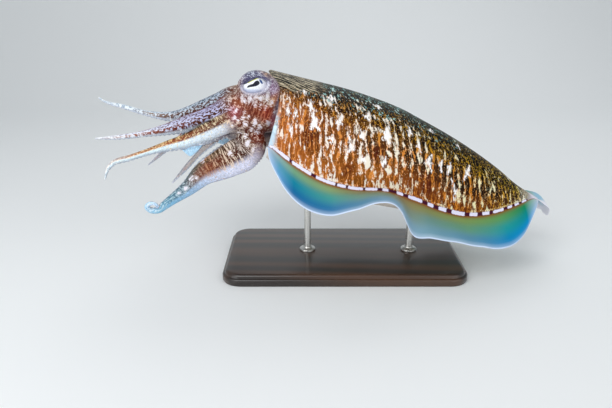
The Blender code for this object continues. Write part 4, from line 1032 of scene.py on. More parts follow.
def head_distance(points):
    """Signed distance, nearly, from the skin of the head and the roots of its arms."""
    back = points[:, 0]
    own = turn_head(points, -HEAD_TWIST * smooth_step(HEAD_TWIST_START - back, 0, HEAD_TWIST_LENGTH))
    half_width, top, bottom = columns_of(HEAD_STATIONS, back)
    y, z = own[:, 1], own[:, 2] - (top + bottom) / 2
    full = 2 / HEAD_SHOULDER
    ratio = (np.abs(y / half_width) ** full + np.abs(z / ((top - bottom) / 2)) ** full) ** (1 / full)
    away = np.hypot(y, z)
    field = away - away / np.maximum(ratio, 1e-3)
    field = np.maximum(field, HEAD_STATIONS[-1][0] - back)
    for arm in arms:
        near = near_line(points, arm.points[:ROOT_SAMPLES], ROOT_MARGIN)
        if not len(near):
            continue
        share, across, oral, ahead, half_width, half_thick = arm.measure(points[near], STUB_END)
        thin = 1 - STUB_THINNING * smooth_step(share, STUB_FADE, STUB_END)
        half_width, half_thick = half_width * thin, half_thick * thin
        half_thick = np.where(oral > 0, half_thick * STUB_ORAL, half_thick)
        ratio = np.sqrt((across / half_width) ** 2 + (oral / half_thick) ** 2)
        away = np.hypot(across, oral)
        stub = np.where(ratio > LEAST_RATIO, away - away / np.maximum(ratio, LEAST_RATIO), -half_thick)
        stub = np.sqrt(np.maximum(stub, 0) ** 2 + ahead**2) + np.minimum(stub, 0)
        field[near] = melt(field[near], stub, WEB * (1 - 0.7 * smooth_step(share, 0.15, 0.33)))
    own = turn_head(points, -HEAD_TWIST)
    for side in (-1, 1):
        near = np.nonzero((own * (-1, side, 1) > EYE_REGION).all(1))[0]
        if not len(near):
            continue
        local = own[near]
        away = local - EYE_BULGE_CENTRE * (1, side, 1)
        ratio = np.linalg.norm(away / EYE_BULGE_RADII, axis=1)
        swelling = np.linalg.norm(away, axis=1) * (1 - 1 / np.maximum(ratio, LEAST_RATIO))
        value = melt(field[near], swelling, BULGE_MELT)
        for spread, thick in EYE_FOLDS:
            ridge = nearest_gap(local, lid_line(side, spread)) - thick
            value = melt(value, ridge, FOLD_MELT)
        away = local - EYE_CENTRE * (1, side, 1)
        long = away[:, 0] * math.cos(EYE_TILT) + away[:, 2] * math.sin(EYE_TILT)
        short = -away[:, 0] * math.sin(EYE_TILT) + away[:, 2] * math.cos(EYE_TILT)
        oval = (np.hypot(long / EYE_OPENING[0], short / EYE_OPENING[1]) - 1) * EYE_OPENING[1]
        hole = np.maximum(oval, SOCKET_FLOOR - away[:, 1] * side)
        field[near] = -melt(-value, hole, SOCKET_MELT)
    return field


low, high = np.array(HEAD_LOW), np.array(HEAD_HIGH)
cells = np.ceil((high - low) / VOXEL).astype(int) + 1
axes = [low[k] + VOXEL * np.arange(cells[k]) for k in range(3)]
field = np.zeros(cells, np.float32)
for i, x in enumerate(axes[0]):
    y, z = np.meshgrid(axes[1], axes[2], indexing="ij")
    layer = np.stack([np.full(y.size, x), y.ravel(), z.ravel()], -1)
    field[i] = head_distance(layer).reshape(y.shape)
grid = openvdb.FloatGrid(FIELD_LIMIT)
grid.copyFromArray(np.clip(field, -FIELD_LIMIT, FIELD_LIMIT))
head_points, head_quads = grid.convertToQuads(0.0)
head_points = low + VOXEL * np.array(head_points, float)
for _ in range(2):
    value = head_distance(head_points)
    moved = [head_distance(head_points + SLOPE_STEP * axis) for axis in np.eye(3)]
    slope = (np.stack(moved, -1) - value[:, None]) / SLOPE_STEP
    steep = np.maximum((slope**2).sum(1), 0.2)
    move = -(value / steep)[:, None] * slope
    far = np.linalg.norm(move, axis=1)[:, None]
    head_points = head_points + move * np.minimum(1, LONGEST_MOVE / np.maximum(far, 1e-9))


def closed_curve(points, count):
    """Evenly spaced points on the smooth closed curve through a few."""
    points = np.array(points, float)
    size = len(points)
    dense = []
    for i in range(size):
        p0, p1, p2, p3 = (points[(i + k) % size] for k in (-1, 0, 1, 2))
        for t in np.linspace(0, 1, 12, endpoint=False):
            dense.append(
                0.5 * (2 * p1 + (p2 - p0) * t + (2 * p0 - 5 * p1 + 4 * p2 - p3) * t**2
                       + (3 * p1 - p0 - 3 * p2 + p3) * t**3)
            )
    dense = np.array(dense + dense[:1])
    run = run_along(dense)
    at = np.linspace(0, run[-1], count, endpoint=False)
    return np.stack([np.interp(at, run, dense[:, k]) for k in range(2)], -1)


def root_growth(share):
    """Scale of an arm's section, which is smaller where it leaves the head."""
    return 0.80 + 0.20 * smooth_step(share, TUBE_START, TUBE_FULL)


tube_points, tube_faces, offset = [], [], 0
for index, arm in enumerate(arms):
    count = int((1 - TUBE_START) * arm.length / TUBE_STEP)
    t = np.arange(count + 1) / count
    share = TUBE_START + (1 - TUBE_START) * (1 - (1 - t) ** TUBE_CROWDING)
    centre, tangent, oral, across = arm.at(share)
    half_width, half_thick = columns_of(ARM_GIRTHS[arm.number], share)
    grow = root_growth(share)
    tip = np.sqrt(np.clip((1 - share) * arm.length / TIP_ROUNDING, 0.02, 1))
    half_width, half_thick = half_width * grow * tip, half_thick * grow * tip
    outline = closed_curve(KEEL_PROFILE if arm.number == 4 else ARM_PROFILE, TUBE_SIDES)
    if arm.number == 4 and arm.side == 1:
        outline = outline * (-1, 1)
    ruffle = np.sin(2 * math.pi * share * arm.length / RUFFLE_LENGTH + index)
    frill = np.clip(outline[:, 1] - MEMBRANE_FOOT, 0, 1)[None] * (1 + 0.30 * ruffle[:, None])
    frill = frill * smooth_step(share, 0.20, 0.30)[:, None]
    rise = np.minimum(outline[:, 1], MEMBRANE_FOOT)[None] + frill
    reach = outline[:, 0][None] * (1 + 0.04 * ruffle[:, None] * (outline[:, 1] > 0.7)[None])
    ring = (
        centre[:, None]
        + across[:, None] * (half_width[:, None] * reach)[..., None]
        + oral[:, None] * (half_thick[:, None] * rise)[..., None]
    )
    poles = (centre[:1] - tangent[:1] * 0.001, centre[-1:] + tangent[-1:] * 0.0001)
    tube_points += [ring.reshape(-1, 3), *poles]
    shell = loft_faces(len(share), TUBE_SIDES, poles=True)
    tube_faces += [tuple(offset + i for i in face) for face in shell]
    offset += len(share) * TUBE_SIDES + 2
tube_points = np.concatenate(tube_points)

ARM_COLOURS = {  # share; upper edge, middle and lower edge of the outer face, marks; share of marks, bars
    1: (
        (0.00, "5e3c44", "424458", "4a302e", "c4cce0", 0.50, 0.0),
        (0.30, "94424c", "3c4656", "50302a", "c0cede", 0.54, 0.0),
        (0.50, "a85464", "4c5868", "5e3e34", "ccd8e6", 0.58, 0.0),
        (0.66, "c08088", "8c9cb0", "8c7062", "dce8f2", 0.60, 0.0),
        (0.80, "bccbdc", "bcd0e2", "a4b4c6", "f0f8fc", 0.60, 0.0),
        (1.00, "d4e2ee", "d4e4f0", "ccdae6", "fafdff", 0.60, 0.0),
    ),
    2: (
        (0.00, "622824", "4e2e34", "44221e", "bcb4d8", 0.46, 0.0),
        (0.30, "82302a", "5a3c44", "4e2818", "c0c2e6", 0.56, 0.0),
        (0.52, "983c26", "745868", "6c2a18", "ced4ee", 0.58, 0.0),
        (0.75, "b05a48", "b4b4cc", "a06048", "e8eef8", 0.58, 0.0),
        (1.00, "e0e6f0", "e2e8f2", "dce2ec", "fafcff", 0.60, 0.0),
    ),
    3: (
        (0.00, "160c06", "5a2812", "c4b8c4", "d8b070", 0.36, 0.8),
        (0.25, "0c0806", "5c2a12", "d8e2ee", "f0e0bc", 0.36, 0.9),
        (0.50, "2c1a0e", "8e401a", "dcecf6", "f0cf90", 0.40, 0.9),
        (0.72, "84461f", "a86430", "d4e6ee", "f2dcb8", 0.42, 0.4),
        (1.00, "c8d6e2", "ccdae6", "deecf4", "ffffff", 0.50, 0.0),
    ),
    4: (
        (0.00, "40160a", "3c1208", "d4cce0", "dccec6", 0.32, 0.6),
        (0.14, "34180a", "3e1608", "d8d8ee", "e2d4ca", 0.32, 0.9),
        (0.26, "4a2c14", "5a2610", "dadef4", "e0c8b0", 0.36, 1.0),
        (0.38, "4a3a20", "70301a", "d4dcf2", "b88460", 0.36, 0.8),
        (0.46, "444640", "6c3826", "c4d4f0", "a8988c", 0.40, 0.2),
        (0.56, "4e5c64", "5c6068", "a0c2e4", "b4c4cc", 0.44, 0.0),
        (0.70, "4c7c90", "548098", "84bade", "a4c4d0", 0.46, 0.0),
        (0.82, "74a8c2", "74acca", "94cae8", "c8e0ec", 0.46, 0.0),
        (1.00, "b4d2ee", "b8d4f0", "c8e2f6", "ecf2ff", 0.50, 0.0),
    ),
}
ARM_SPOTS = (  # on the fourth arms: share, place across, reach along and across in mm
    (0.217, -0.40, 1.9, 2.8), (0.499, -0.50, 2.6, 2.2), (0.575, -0.20, 3.0, 2.2), (0.470, -0.15, 1.7, 2.0),
    (0.634, -0.30, 2.0, 1.6), (0.392, -0.95, 2.4, 1.6),
)
HEAD_ZONES = (  # mm back and up on the head, reach back and up; ground, marks, share of marks, streaks
    (-21.0, 4.0, 19.0, 12.0, "64220e", "c08060", 0.28, 0.35),
    (-22.0, -14.0, 13.0, 9.0, "561e0c", "d8bcac", 0.30, 0.15),
    (-28.0, -24.0, 10.0, 8.0, "421608", "e4d6ca", 0.32, 0.6),
    (-10.0, -18.0, 7.0, 8.0, "6a2212", "d8ac9c", 0.32, 0.0),
    (-38.5, -4.0, 7.0, 9.0, "843438", "e0acb4", 0.38, 0.0),
    (-38.0, 7.0, 6.0, 6.0, "843c1c", "e8b89c", 0.40, 0.0),
    (-8.0, 4.0, 7.0, 8.0, "7a2416", "d87c58", 0.38, 0.4),
    (-1.0, -1.0, 3.5, 8.0, "b86068", "f0c8cc", 0.42, 0.0),
    (-30.0, 12.0, 12.0, 5.0, "6a2a16", "f0e6ea", 0.40, 0.8),
    (-13.0, 17.0, 9.0, 5.0, "7a3a16", "faf2ea", 0.44, 0.6),
    (-5.5, 21.0, 4.0, 8.0, "a05020", "f4c090", 0.44, 0.0),
    (0.0, 18.0, 3.5, 15.0, "9c8ca2", "d4cade", 0.42, 0.0),
    (-26.0, 30.0, 19.0, 11.0, "686688", "ccd2e6", 0.49, 0.0),
    (-9.0, 28.0, 5.0, 6.0, "8c6a88", "dccce4", 0.48, 0.0),
    (-34.0, 35.0, 12.0, 5.0, "54526e", "d4dae8", 0.49, 0.0),
    (-18.0, 40.0, 6.0, 4.0, "6c5c60", "e8b890", 0.44, 0.0),
    (-18.0, 28.0, 4.0, 5.0, "d0c8dc", "ffffff", 0.50, 0.0),
)
CHEEK_SPOTS = (  # mm back and up in the head's frame, half width and half height
    (-32.3, 8.8, 2.0, 2.4), (-27.5, 13.0, 1.3, 3.0), (-22.6, 16.4, 1.7, 1.3), (-18.2, 16.0, 2.6, 1.9),
    (-12.8, 18.4, 1.6, 3.6), (-7.1, 14.9, 1.6, 3.6), (-2.7, 7.1, 1.8, 2.2), (-29.0, -7.6, 1.6, 2.6),
    (-25.3, -11.1, 2.2, 2.4), (-16.9, -6.6, 2.2, 3.8), (-11.7, -10.2, 2.0, 3.6), (-24.5, -4.3, 1.4, 1.5),
    (-32.8, -10.6, 1.1, 1.7), (-18.8, -14.7, 1.4, 1.8), (-12.9, -15.7, 2.7, 1.8), (-5.2, -3.9, 2.5, 2.5),
    (-29.0, -1.1, 1.1, 2.2), (-29.0, -20.9, 2.0, 1.3), (-36.7, -16.5, 1.8, 1.8), (-36.9, -8.6, 2.0, 1.8),
    (-37.1, -1.8, 1.0, 2.8), (-22.1, -22.4, 1.8, 2.6), (-18.6, -28.4, 2.5, 3.8), (-11.8, -32.5, 1.4, 3.6),
    (-35.1, 12.0, 1.2, 1.9), (-16.5, 9.5, 0.9, 2.6), (-21.5, 8.0, 0.9, 2.2), (-11.5, 8.5, 0.8, 2.4),
)
LID_PAINT = 2.6  # mm, width of the lids' paint
PLAIN_COVER = 0.26  # share of marks on the suckered faces and the flap
HEAD_FIELDS = ("ground", "marks", "cover", "coarse", "bars", "streaks", "spots")


def arm_paint(arm, share, low, oral):
    """Colours and marks of an arm's skin by share of its length and place round it."""
    number, table = arm.number, ARM_COLOURS[arm.number]
    upper, middle, lower, marks = colour_rows([row[:5] for row in table], share)
    places = [row[0] for row in table]
    cover = np.interp(share, places, [row[5] for row in table])
    bars = np.interp(share, places, [row[6] for row in table])
    edge, reach = (0.06, 0.42) if number == 4 else (0.12, 0.25)
    ground = blend(upper, middle, smooth_step(low, -0.80, -0.45))
    ground = blend(ground, lower, smooth_step(low, edge, edge + reach))
    pale = blend("d4d4e2", "90a8b8", 0.45 * smooth_step(np.abs(low), 0.3, 0.9))
    if number >= 3:
        pale = blend(pale, "66525c", 0.75 * (1 - smooth_step(share, 0.22, 0.34)))
    face = smooth_step(oral, -0.05, 0.35)
    ground = blend(ground, pale, face)
    marks = blend(marks, "ffffff", face)
    plain = np.maximum(face, smooth_step(low, edge + 0.2, edge + 0.5) * (1.0 if number >= 3 else 0.3))
    if number < 3:
        cover = cover * (1 - 0.5 * smooth_step(-low, 0.60, 0.85))
    cover = mix(cover, PLAIN_COVER, plain)
    if number == 3:
        bars = bars * (1 - smooth_step(low, -0.45, -0.05))
    spots = np.full(len(share), FAR)
    if number == 4:
        for place, across, along_reach, across_reach in ARM_SPOTS:
            half_width = along_rows(ARM_GIRTHS[4], np.array([place]))[0, 0]
            dx = (share - place) * arm.length * MM / along_reach
            dz = (low - across) * half_width * MM / across_reach
            spots = np.minimum(spots, (np.hypot(dx, dz) - 1) * min(along_reach, across_reach))
    return ground, marks, cover, bars * (1 - plain), np.where(face > 0.5, FAR, spots)


def paint_skin(points):
    """Ground and mark colours, share of marks, coarseness, bars, streaks' place and spots for the skin."""
    own = turn_head(points, -HEAD_TWIST) * MM
    x, y, z = own[:, 0], np.abs(own[:, 1]), own[:, 2]
    ground, marks = "74402a", "e6d4c6"
    cover = np.full(len(points), 0.45)
    side_face = smooth_step(y, 8, 22)
    bars = np.zeros(len(points))
    for cx, cz, rx, rz, dark, pale, share, streaks in HEAD_ZONES:
        weight = np.exp(-(((x - cx) / rx) ** 2 + ((z - cz) / rz) ** 2) ** 1.5) * side_face
        ground, marks = blend(ground, dark, weight), blend(marks, pale, weight)
        cover, bars = mix(cover, share, weight), mix(bars, streaks, weight)
    coarse = side_face * (1 - smooth_step(z, 12, 19))
    spots = np.full(len(points), FAR)
    for cx, cz, wide, high in CHEEK_SPOTS:
        away = (np.hypot((x - cx) / wide, (z - cz) / high) - 1) * min(wide, high)
        spots = np.minimum(spots, np.where(y > 20, away, FAR))
    crown = (1 - side_face) * smooth_step(z, 0, 20)
    ground, marks = blend(ground, "5c3a24", crown), blend(marks, "d9b88a", crown)
    below = smooth_step(-z, 6, 18) * (1 - smooth_step(y, 22, 34))
    ground, marks = blend(ground, "cdbfc0", below), blend(marks, "efe8e4", below)
    lid = np.full(len(points), 1.0)
    for side in (-1, 1):
        line = lid_line(side, LID_THICK * 0.6) * MM
        near = own[:, 1] * side > 20
        lid[near] = np.minimum(lid[near], nearest_gap(own[near], line) / LID_PAINT)
    rim_weight = 1 - smooth_step(lid, 0.35, 1.0)
    upper_lid = smooth_step((z - EYE_CENTRE[2] * MM) - 0.45 * (x - EYE_CENTRE[0] * MM), 0.0, 4.0)
    lid_colour = blend("c8c8dc", "4c4a68", upper_lid)
    ground = blend(ground, lid_colour, rim_weight * 0.8)
    cover = cover * (1 - 0.35 * rim_weight)
    streaks = np.stack([x, z, 0.6 * y], -1)
    best = np.full(len(points), FAR)
    choice = np.full(len(points), -1)
    facts = np.zeros((len(points), 4))
    for index, arm in enumerate(arms):
        near = near_line(points, arm.points, ARM_MARGIN)
        share, across, oral, ahead, half_width, half_thick = arm.measure(points[near])
        ratio = np.sqrt((across / half_width) ** 2 + (oral / half_thick) ** 2 + (ahead / half_thick) ** 2)
        better = ratio < best[near]
        chosen = near[better]
        best[chosen] = ratio[better]
        choice[chosen] = index
        low_side = -arm.side * across / half_width
        facts[chosen] = np.stack([share, low_side, oral / half_thick, -arm.side * across], -1)[better]
    for index, arm in enumerate(arms):
        mine = np.nonzero(choice == index)[0]
        share, low_side, oral, low_place = facts[mine].T
        colours = arm_paint(arm, share, low_side, oral)
        start = 0.02 if arm.number == 4 else 0.10
        weight = smooth_step(share, start, start + 0.13) * (1 - smooth_step(best[mine], 1.6, 2.4))
        for values, new in zip((ground, marks), colours):
            values[mine] = blend(values[mine], new, weight)
        for values, new in zip((cover, bars, coarse), (*colours[2:4], 0)):
            values[mine] = mix(values[mine], new, weight)
        on_arm = np.where(weight > 0.5, colours[4], np.minimum(spots[mine], colours[4]))
        spots[mine] = np.minimum(spots[mine] + FAR * smooth_step(weight, 0.6, 1.0), on_arm)
        along_arm = np.stack([share * arm.length, low_place, 0 * share + 0.02 * index], -1) * MM
        streaks[mine] = np.where((weight > 0.5)[:, None], along_arm, streaks[mine])
    return ground, marks, cover, coarse, bars, streaks, spots


# Cast silicone, painted: pale marks with a warmer edge break the darker ground, 3 mm across on the
# cheeks, and 3 mm long and 1.3 mm wide along the arms. Ragged streaks cross the third and fourth
# arms 2.5 mm apart, and white spots are set on the cheeks and the fourth arms.
flesh, tree, where = empty_material("painted_silicone_head_and_arms")
given = {name: add(tree, "ShaderNodeAttribute", {"attribute_name": name}) for name in HEAD_FIELDS}
noise = {}
for label, scale, detail, distortion in (
    ("large", 240.0, 2.0, 0.8), ("squiggle", 800.0, 2.0, 1.2), ("wrinkle", 520.0, 4.0, 0.0),
):
    noise[label] = add(tree, "ShaderNodeTexNoise", Vector=where, Scale=scale, Detail=detail,
                       Distortion=distortion)
for label, scale in (("streak", (0.72, 0.115, 1.0)), ("small", (0.36, 0.80, 1.0))):
    placed = add(tree, "ShaderNodeMapping", Vector=given["streaks"].outputs["Vector"], Scale=scale)
    noise[label] = add(tree, "ShaderNodeTexNoise", Vector=placed, Scale=1.0, Detail=2.0, Distortion=0.5)

sized = add(tree, "ShaderNodeMix", n0=given["coarse"].outputs["Fac"], n2=noise["small"], n3=noise["large"])
mixed = add(tree, "ShaderNodeMath", {"operation": "MULTIPLY_ADD"}, n0=noise["squiggle"], n1=0.5, n2=sized)
level = add(tree, "ShaderNodeMath", {"operation": "MULTIPLY_ADD"}, n0=given["cover"].outputs["Fac"], n1=0.6,
            n2=-0.3)
blotch = add(tree, "ShaderNodeMath", {"operation": "ADD"}, n0=mixed, n1=level)
streak = add(tree, "ShaderNodeMath", {"operation": "MULTIPLY_ADD"}, n0=noise["squiggle"], n1=0.35,
             n2=noise["streak"])
centred = add(tree, "ShaderNodeMath", {"operation": "SUBTRACT"}, n0=noise["small"], n1=0.5)
spot = add(tree, "ShaderNodeMath", {"operation": "MULTIPLY_ADD"}, n0=centred, n1=7.0,
           n2=given["spots"].outputs["Fac"])
fewer = add(tree, "ShaderNodeMapRange", n0=given["bars"].outputs["Fac"], n1=0.0, n2=1.0, n3=1.0, n4=0.25)
tone = add(tree, "ShaderNodeMapRange", n0=noise["squiggle"], n1=0.3, n2=0.7, n3=0.65, n4=1.30)
toned = add(tree, "ShaderNodeVectorMath", {"operation": "SCALE"}, n0=given["ground"].outputs["Color"],
            Scale=tone)
paint = paint_over(tree, toned, (
    (blotch, 0.70, 0.77, 0.35, fewer, given["marks"].outputs["Color"]),
    (blotch, 0.76, 0.82, 0.90, fewer, given["marks"].outputs["Color"]),
    (streak, 0.67, 0.73, 0.40, given["bars"].outputs["Fac"], given["marks"].outputs["Color"]),
    (streak, 0.72, 0.78, 0.90, given["bars"].outputs["Fac"], given["marks"].outputs["Color"]),
    (spot, 0.60, -0.10, 0.50, 1.0, given["marks"].outputs["Color"]),
    (spot, -0.10, -0.80, 0.92, 1.0, linear("e8e2ec")),
))
relief = add(tree, "ShaderNodeBump", Height=noise["wrinkle"], Strength=0.25, Distance=0.0007)
rough = add(tree, "ShaderNodeMapRange", n0=noise["wrinkle"], n1=0.3, n2=0.7, n3=0.40, n4=0.58)
shader = add(tree, "ShaderNodeBsdfPrincipled", Base_Color=paint, Roughness=rough, IOR=1.41,
             Specular_IOR_Level=0.20, Coat_Weight=0.08, Coat_Roughness=0.20, Normal=relief)
add(tree, "ShaderNodeOutputMaterial", Surface=shader)


def outwards(points, faces):
    """The faces of a closed shell, turned so that they look outwards."""
    triangles = np.array([(f[0], f[k], f[k + 1]) for f in faces for k in range(1, len(f) - 1)])
    a, b, c = (points[triangles[:, k]] for k in range(3))
    return [face[::-1] for face in faces] if (a * np.cross(b, c)).sum() < 0 else faces


# A soft flap of the third arm's membrane hangs below it, on both sides alike
flap_points, flap_faces = [], []
for side in (-1, 1):
    arm = next(a for a in arms if (a.side, a.number) == (side, 3))
    along_flap = np.linspace(0, 1, FLAP_STEPS)
    centre, tangent, oral, across = arm.at(FLAP_SPAN[0] + (FLAP_SPAN[1] - FLAP_SPAN[0]) * along_flap)
    hang = along_rows(FLAP_HANG, along_flap)[:, 0]
    offset = len(flap_points) * FLAP_STEPS * 2 * FLAP_ROWS
    rings = []
    for face_side in (1, -1):
        for t in np.linspace(0, 1, FLAP_ROWS)[::face_side]:
            lower = -side * across * (FLAP_START + t * hang)[:, None] + tangent * (FLAP_SWEEP * t * t)
            half = FLAP_ROOT_HALF - FLAP_THINNING * t
            depth = oral * (FLAP_DEPTH + FLAP_BOW * np.sin(FLAP_TURN * t) + face_side * half)
            rings.append(centre + lower + depth)
    ring = np.stack(rings, 1)
    flap_points.append(ring.reshape(-1, 3))
    shell = outwards(flap_points[-1], loft_faces(FLAP_STEPS, 2 * FLAP_ROWS))
    flap_faces += [tuple(offset + i for i in face) for face in shell]
flap_points = np.concatenate(flap_points)

head_faces = outwards(head_points, [tuple(int(i) for i in quad) for quad in head_quads])
points, faces = head_points, head_faces
for more, shell in ((tube_points, outwards(tube_points, tube_faces)), (flap_points, flap_faces)):
    faces = faces + [tuple(i + len(points) for i in face) for face in shell]
    points = np.concatenate([points, more])
head = new_object("head_and_arms", to_world(points), faces, flesh)
painted = paint_skin(points)
flap = np.arange(len(points)) >= len(head_points) + len(tube_points)
painted[0][flap] = linear("a9cde6")
painted[2][flap], painted[4][flap], painted[6][flap] = PLAIN_COVER, 0.0, FAR
for name, values in zip(HEAD_FIELDS, painted):
    set_attribute(head.data, name, values)
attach(head, "root")
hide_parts("head", *[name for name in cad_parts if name.startswith("arm_")])

# Eyes
# Each eye is a cast ball with a silvered iris and a black pupil shaped like a W, under a clear gloss
# coat. It sits in its socket behind the lids.

PUPIL_LINE = ((-8.0, -0.4), (-6.0, 0.2), (-4.3, 0.45), (-1.5, 0.5), (0.8, 1.4), (3.1, 1.9), (4.8, 1.7))
PUPIL_HALF = (
    (-7.6, 0.2), (-6.4, 0.9), (-4.3, 1.15), (-1.5, 1.3), (0.8, 2.2), (3.1, 2.1), (4.3, 1.3), (4.8, 0.3),
)
LID_EDGE = ((-8.0, 2.7), (-5.5, 3.5), (3.6, 5.9), (7.0, 6.2))  # the upper lid's lower edge, yellow-green
PUPIL_MIDDLE, PUPIL_REACH = -1.4, 6.2
EDGE_MIDDLE, EDGE_REACH, EDGE_HALF = -0.8, 5.2, 0.34  # of the yellow-green edge
HINDER_LOBE = (6.2, 2.3, 1.2, 2.6)  # the pupil's second, bluish part: place and half sizes
EYE_RINGS, EYE_SIDES, EYE_CROWDING = 110, 140, 1.3
EYE_FIELDS = ("ground", "pupil", "line")

# Painted resin under a clear coat: silver-white below, dark round the pupil, softly wet.
resin, tree, where = empty_material("clear_coated_painted_resin")
given = {name: add(tree, "ShaderNodeAttribute", {"attribute_name": name}) for name in EYE_FIELDS}
flakes = add(tree, "ShaderNodeTexNoise", Vector=where, Scale=1400.0, Detail=2.0)
tone = add(tree, "ShaderNodeMapRange", n0=flakes, n1=0.3, n2=0.7, n3=0.86, n4=1.1)
toned = add(tree, "ShaderNodeVectorMath", {"operation": "SCALE"}, n0=given["ground"].outputs["Color"],
            Scale=tone)
paint = paint_over(tree, toned, [
    (given[label].outputs["Fac"], blur, -blur, 1.0, 1.0, linear(colour))
    for label, blur, colour in (("line", 0.15, "c3c84e"), ("pupil", 0.12, "070b24"))
])
shader = add(tree, "ShaderNodeBsdfPrincipled", Base_Color=paint, Roughness=0.35, Specular_IOR_Level=0.25,
             Coat_Weight=0.30, Coat_Roughness=0.06)
add(tree, "ShaderNodeOutputMaterial", Surface=shader)

for side, node_name, name in ((-1, "eye_left", "eyeball_left"), (1, "eye_right", "eyeball_right")):
    away = math.pi * (np.arange(1, EYE_RINGS) / EYE_RINGS) ** EYE_CROWDING
    round_it = 2 * math.pi * np.arange(EYE_SIDES) / EYE_SIDES
    away, round_it = np.meshgrid(away, round_it, indexing="ij")
    long, short = EYE_RADIUS * np.sin(away) * np.cos(round_it), EYE_RADIUS * np.sin(away) * np.sin(round_it)
    out = EYE_RADIUS * np.cos(away)
    x, z = on_eye(long, short)
    ball = np.stack([x, side * (EYE_CENTRE[1] + out), z], -1).reshape(-1, 3)
    centre, to_pole = EYE_CENTRE * (1, side, 1), np.array((0, side * EYE_RADIUS, 0))
    ball = np.concatenate([ball, [centre + to_pole, centre - to_pole]])
    a = np.concatenate([long.ravel(), [0, 0]]) * MM
    b = np.concatenate([short.ravel(), [0, 0]]) * MM
    front = np.concatenate([out.ravel(), [EYE_RADIUS, -EYE_RADIUS]]) > 0
    middle, half = np.interp(a, *zip(*PUPIL_LINE)), np.interp(a, *zip(*PUPIL_HALF))
    pupil = np.maximum(np.abs(b - middle) - half, np.abs(a - PUPIL_MIDDLE) - PUPIL_REACH)
    over_pupil = b - np.interp(a, *zip(*LID_EDGE))
    line = np.maximum(np.abs(over_pupil) - EDGE_HALF, np.abs(a - EDGE_MIDDLE) - EDGE_REACH)
    pupil, line = np.where(front, pupil, FAR), np.where(front, line, FAR)
    iris = blend("f4f6fb", "26263e", smooth_step(over_pupil, 0.0, 0.4))
    iris = blend(iris, "605e7e", smooth_step(over_pupil, 0.8, 1.5))
    iris = blend(iris, "8fa2d0", smooth_step(-b - 0.25 * a, 2.4, 5.0) * 0.55)
    lean = a + 0.35 * (b - HINDER_LOBE[1])
    lobe = np.hypot((lean - HINDER_LOBE[0]) / HINDER_LOBE[2], (b - HINDER_LOBE[1]) / HINDER_LOBE[3])
    iris = blend(iris, "244a86", 1 - smooth_step(lobe, 0.7, 1.05))
    faces = loft_faces(EYE_RINGS - 1, EYE_SIDES, poles=True)
    eye = new_object(name, to_world(turn_head(ball, HEAD_TWIST)), faces, resin)
    for label, values in zip(EYE_FIELDS, (iris, pupil, line)):
        set_attribute(eye.data, label, values)
    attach(eye, "root")
    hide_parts(node_name)

# Suckers
# Stalked cups of soft silicone stand four abreast on the inner face of each arm. They get smaller
# towards the tip, and on the left fourth arm they are tiny for a stretch, as on an adult male.

SUCKER_ROWS = {4: (-0.58, -0.24, 0.10, 0.42), 0: (-0.62, -0.21, 0.21, 0.62)}
SUCKER_WIDTH, SUCKER_LEAST, SUCKER_PITCH = 0.195, 0.00042, 2.3
SUCKER_SPAN = (0.20, 0.93)
SMALL_STRETCH, SMALL_SIZE = (0.40, 0.58), 0.40  # on the left fourth arm, and the suckers' size there
MIDDLE_SIZE = 1.12  # of the two middle rows
NARROW_ARM, NARROW_ROWS = 0.0022, (-0.35, 0.35)  # half width under which only two rows are left
CUP_PROFILE = ((0.42, -0.75), (0.90, -0.05), (1.00, 0.42), (0.80, 0.62), (0.45, 0.28))
CUP_SIDES, CUP_SPLAY, STALK = 8, 0.35, 0.30
FACE_RISE, FACE_FALL = 0.66, 0.16  # the inner face's height in its middle, and its fall to the edges

# Soft silicone, cast and left bare: a milky ivory that lets a little light in at its thin rims.
ivory, tree, where = empty_material("bare_cast_silicone")
shade = add(tree, "ShaderNodeTexNoise", Vector=where, Scale=900.0, Detail=2.0)
paint = paint_over(tree, linear("cdb9b4"), [(shade, 0.35, 0.62, 1.0, 1.0, linear("f1e9e6"))])
shader = add(tree, "ShaderNodeBsdfPrincipled", Base_Color=paint, Roughness=0.38, IOR=1.41,
             Subsurface_Weight=0.15, Subsurface_Scale=0.0006, Coat_Weight=0.3, Coat_Roughness=0.2)
add(tree, "ShaderNodeOutputMaterial", Surface=shader)

cup = new_object("sucker_cup", turned(CUP_PROFILE, CUP_SIDES), loft_faces(len(CUP_PROFILE), CUP_SIDES), ivory)

tree = bpy.data.node_groups.new("cups_on_points", "GeometryNodeTree")
for label, direction, kind in (
    ("Points", "INPUT", "NodeSocketGeometry"),
    ("Cup", "INPUT", "NodeSocketObject"),
    ("Size", "INPUT", "NodeSocketFloat"),
    ("Finish", "INPUT", "NodeSocketMaterial"),
    ("Cups", "OUTPUT", "NodeSocketGeometry"),
):
    tree.interface.new_socket(label, in_out=direction, socket_type=kind)
given = tree.nodes.new("NodeGroupInput")
result = tree.nodes.new("NodeGroupOutput")
shape = add(tree, "GeometryNodeObjectInfo", n0=given.outputs["Cup"])
facing = add(tree, "GeometryNodeInputNamedAttribute", {"data_type": "FLOAT_VECTOR"}, Name="facing")
radius = add(tree, "GeometryNodeInputNamedAttribute", {"data_type": "FLOAT"}, Name="radius")
turn = add(tree, "FunctionNodeAlignRotationToVector", {"axis": "Z"}, Vector=facing)
scale = add(tree, "ShaderNodeMath", {"operation": "MULTIPLY"}, n0=radius, n1=given.outputs["Size"])
placed = add(tree, "GeometryNodeInstanceOnPoints", Points=given.outputs["Points"],
             Instance=shape.outputs["Geometry"], Rotation=turn, Scale=scale)
real = add(tree, "GeometryNodeRealizeInstances", Geometry=placed)
dressed = add(tree, "GeometryNodeSetMaterial", Geometry=real, Material=given.outputs["Finish"])
tree.links.new(dressed.outputs["Geometry"], result.inputs["Cups"])
sockets = {item.name: item.identifier for item in tree.interface.items_tree if item.in_out == "INPUT"}

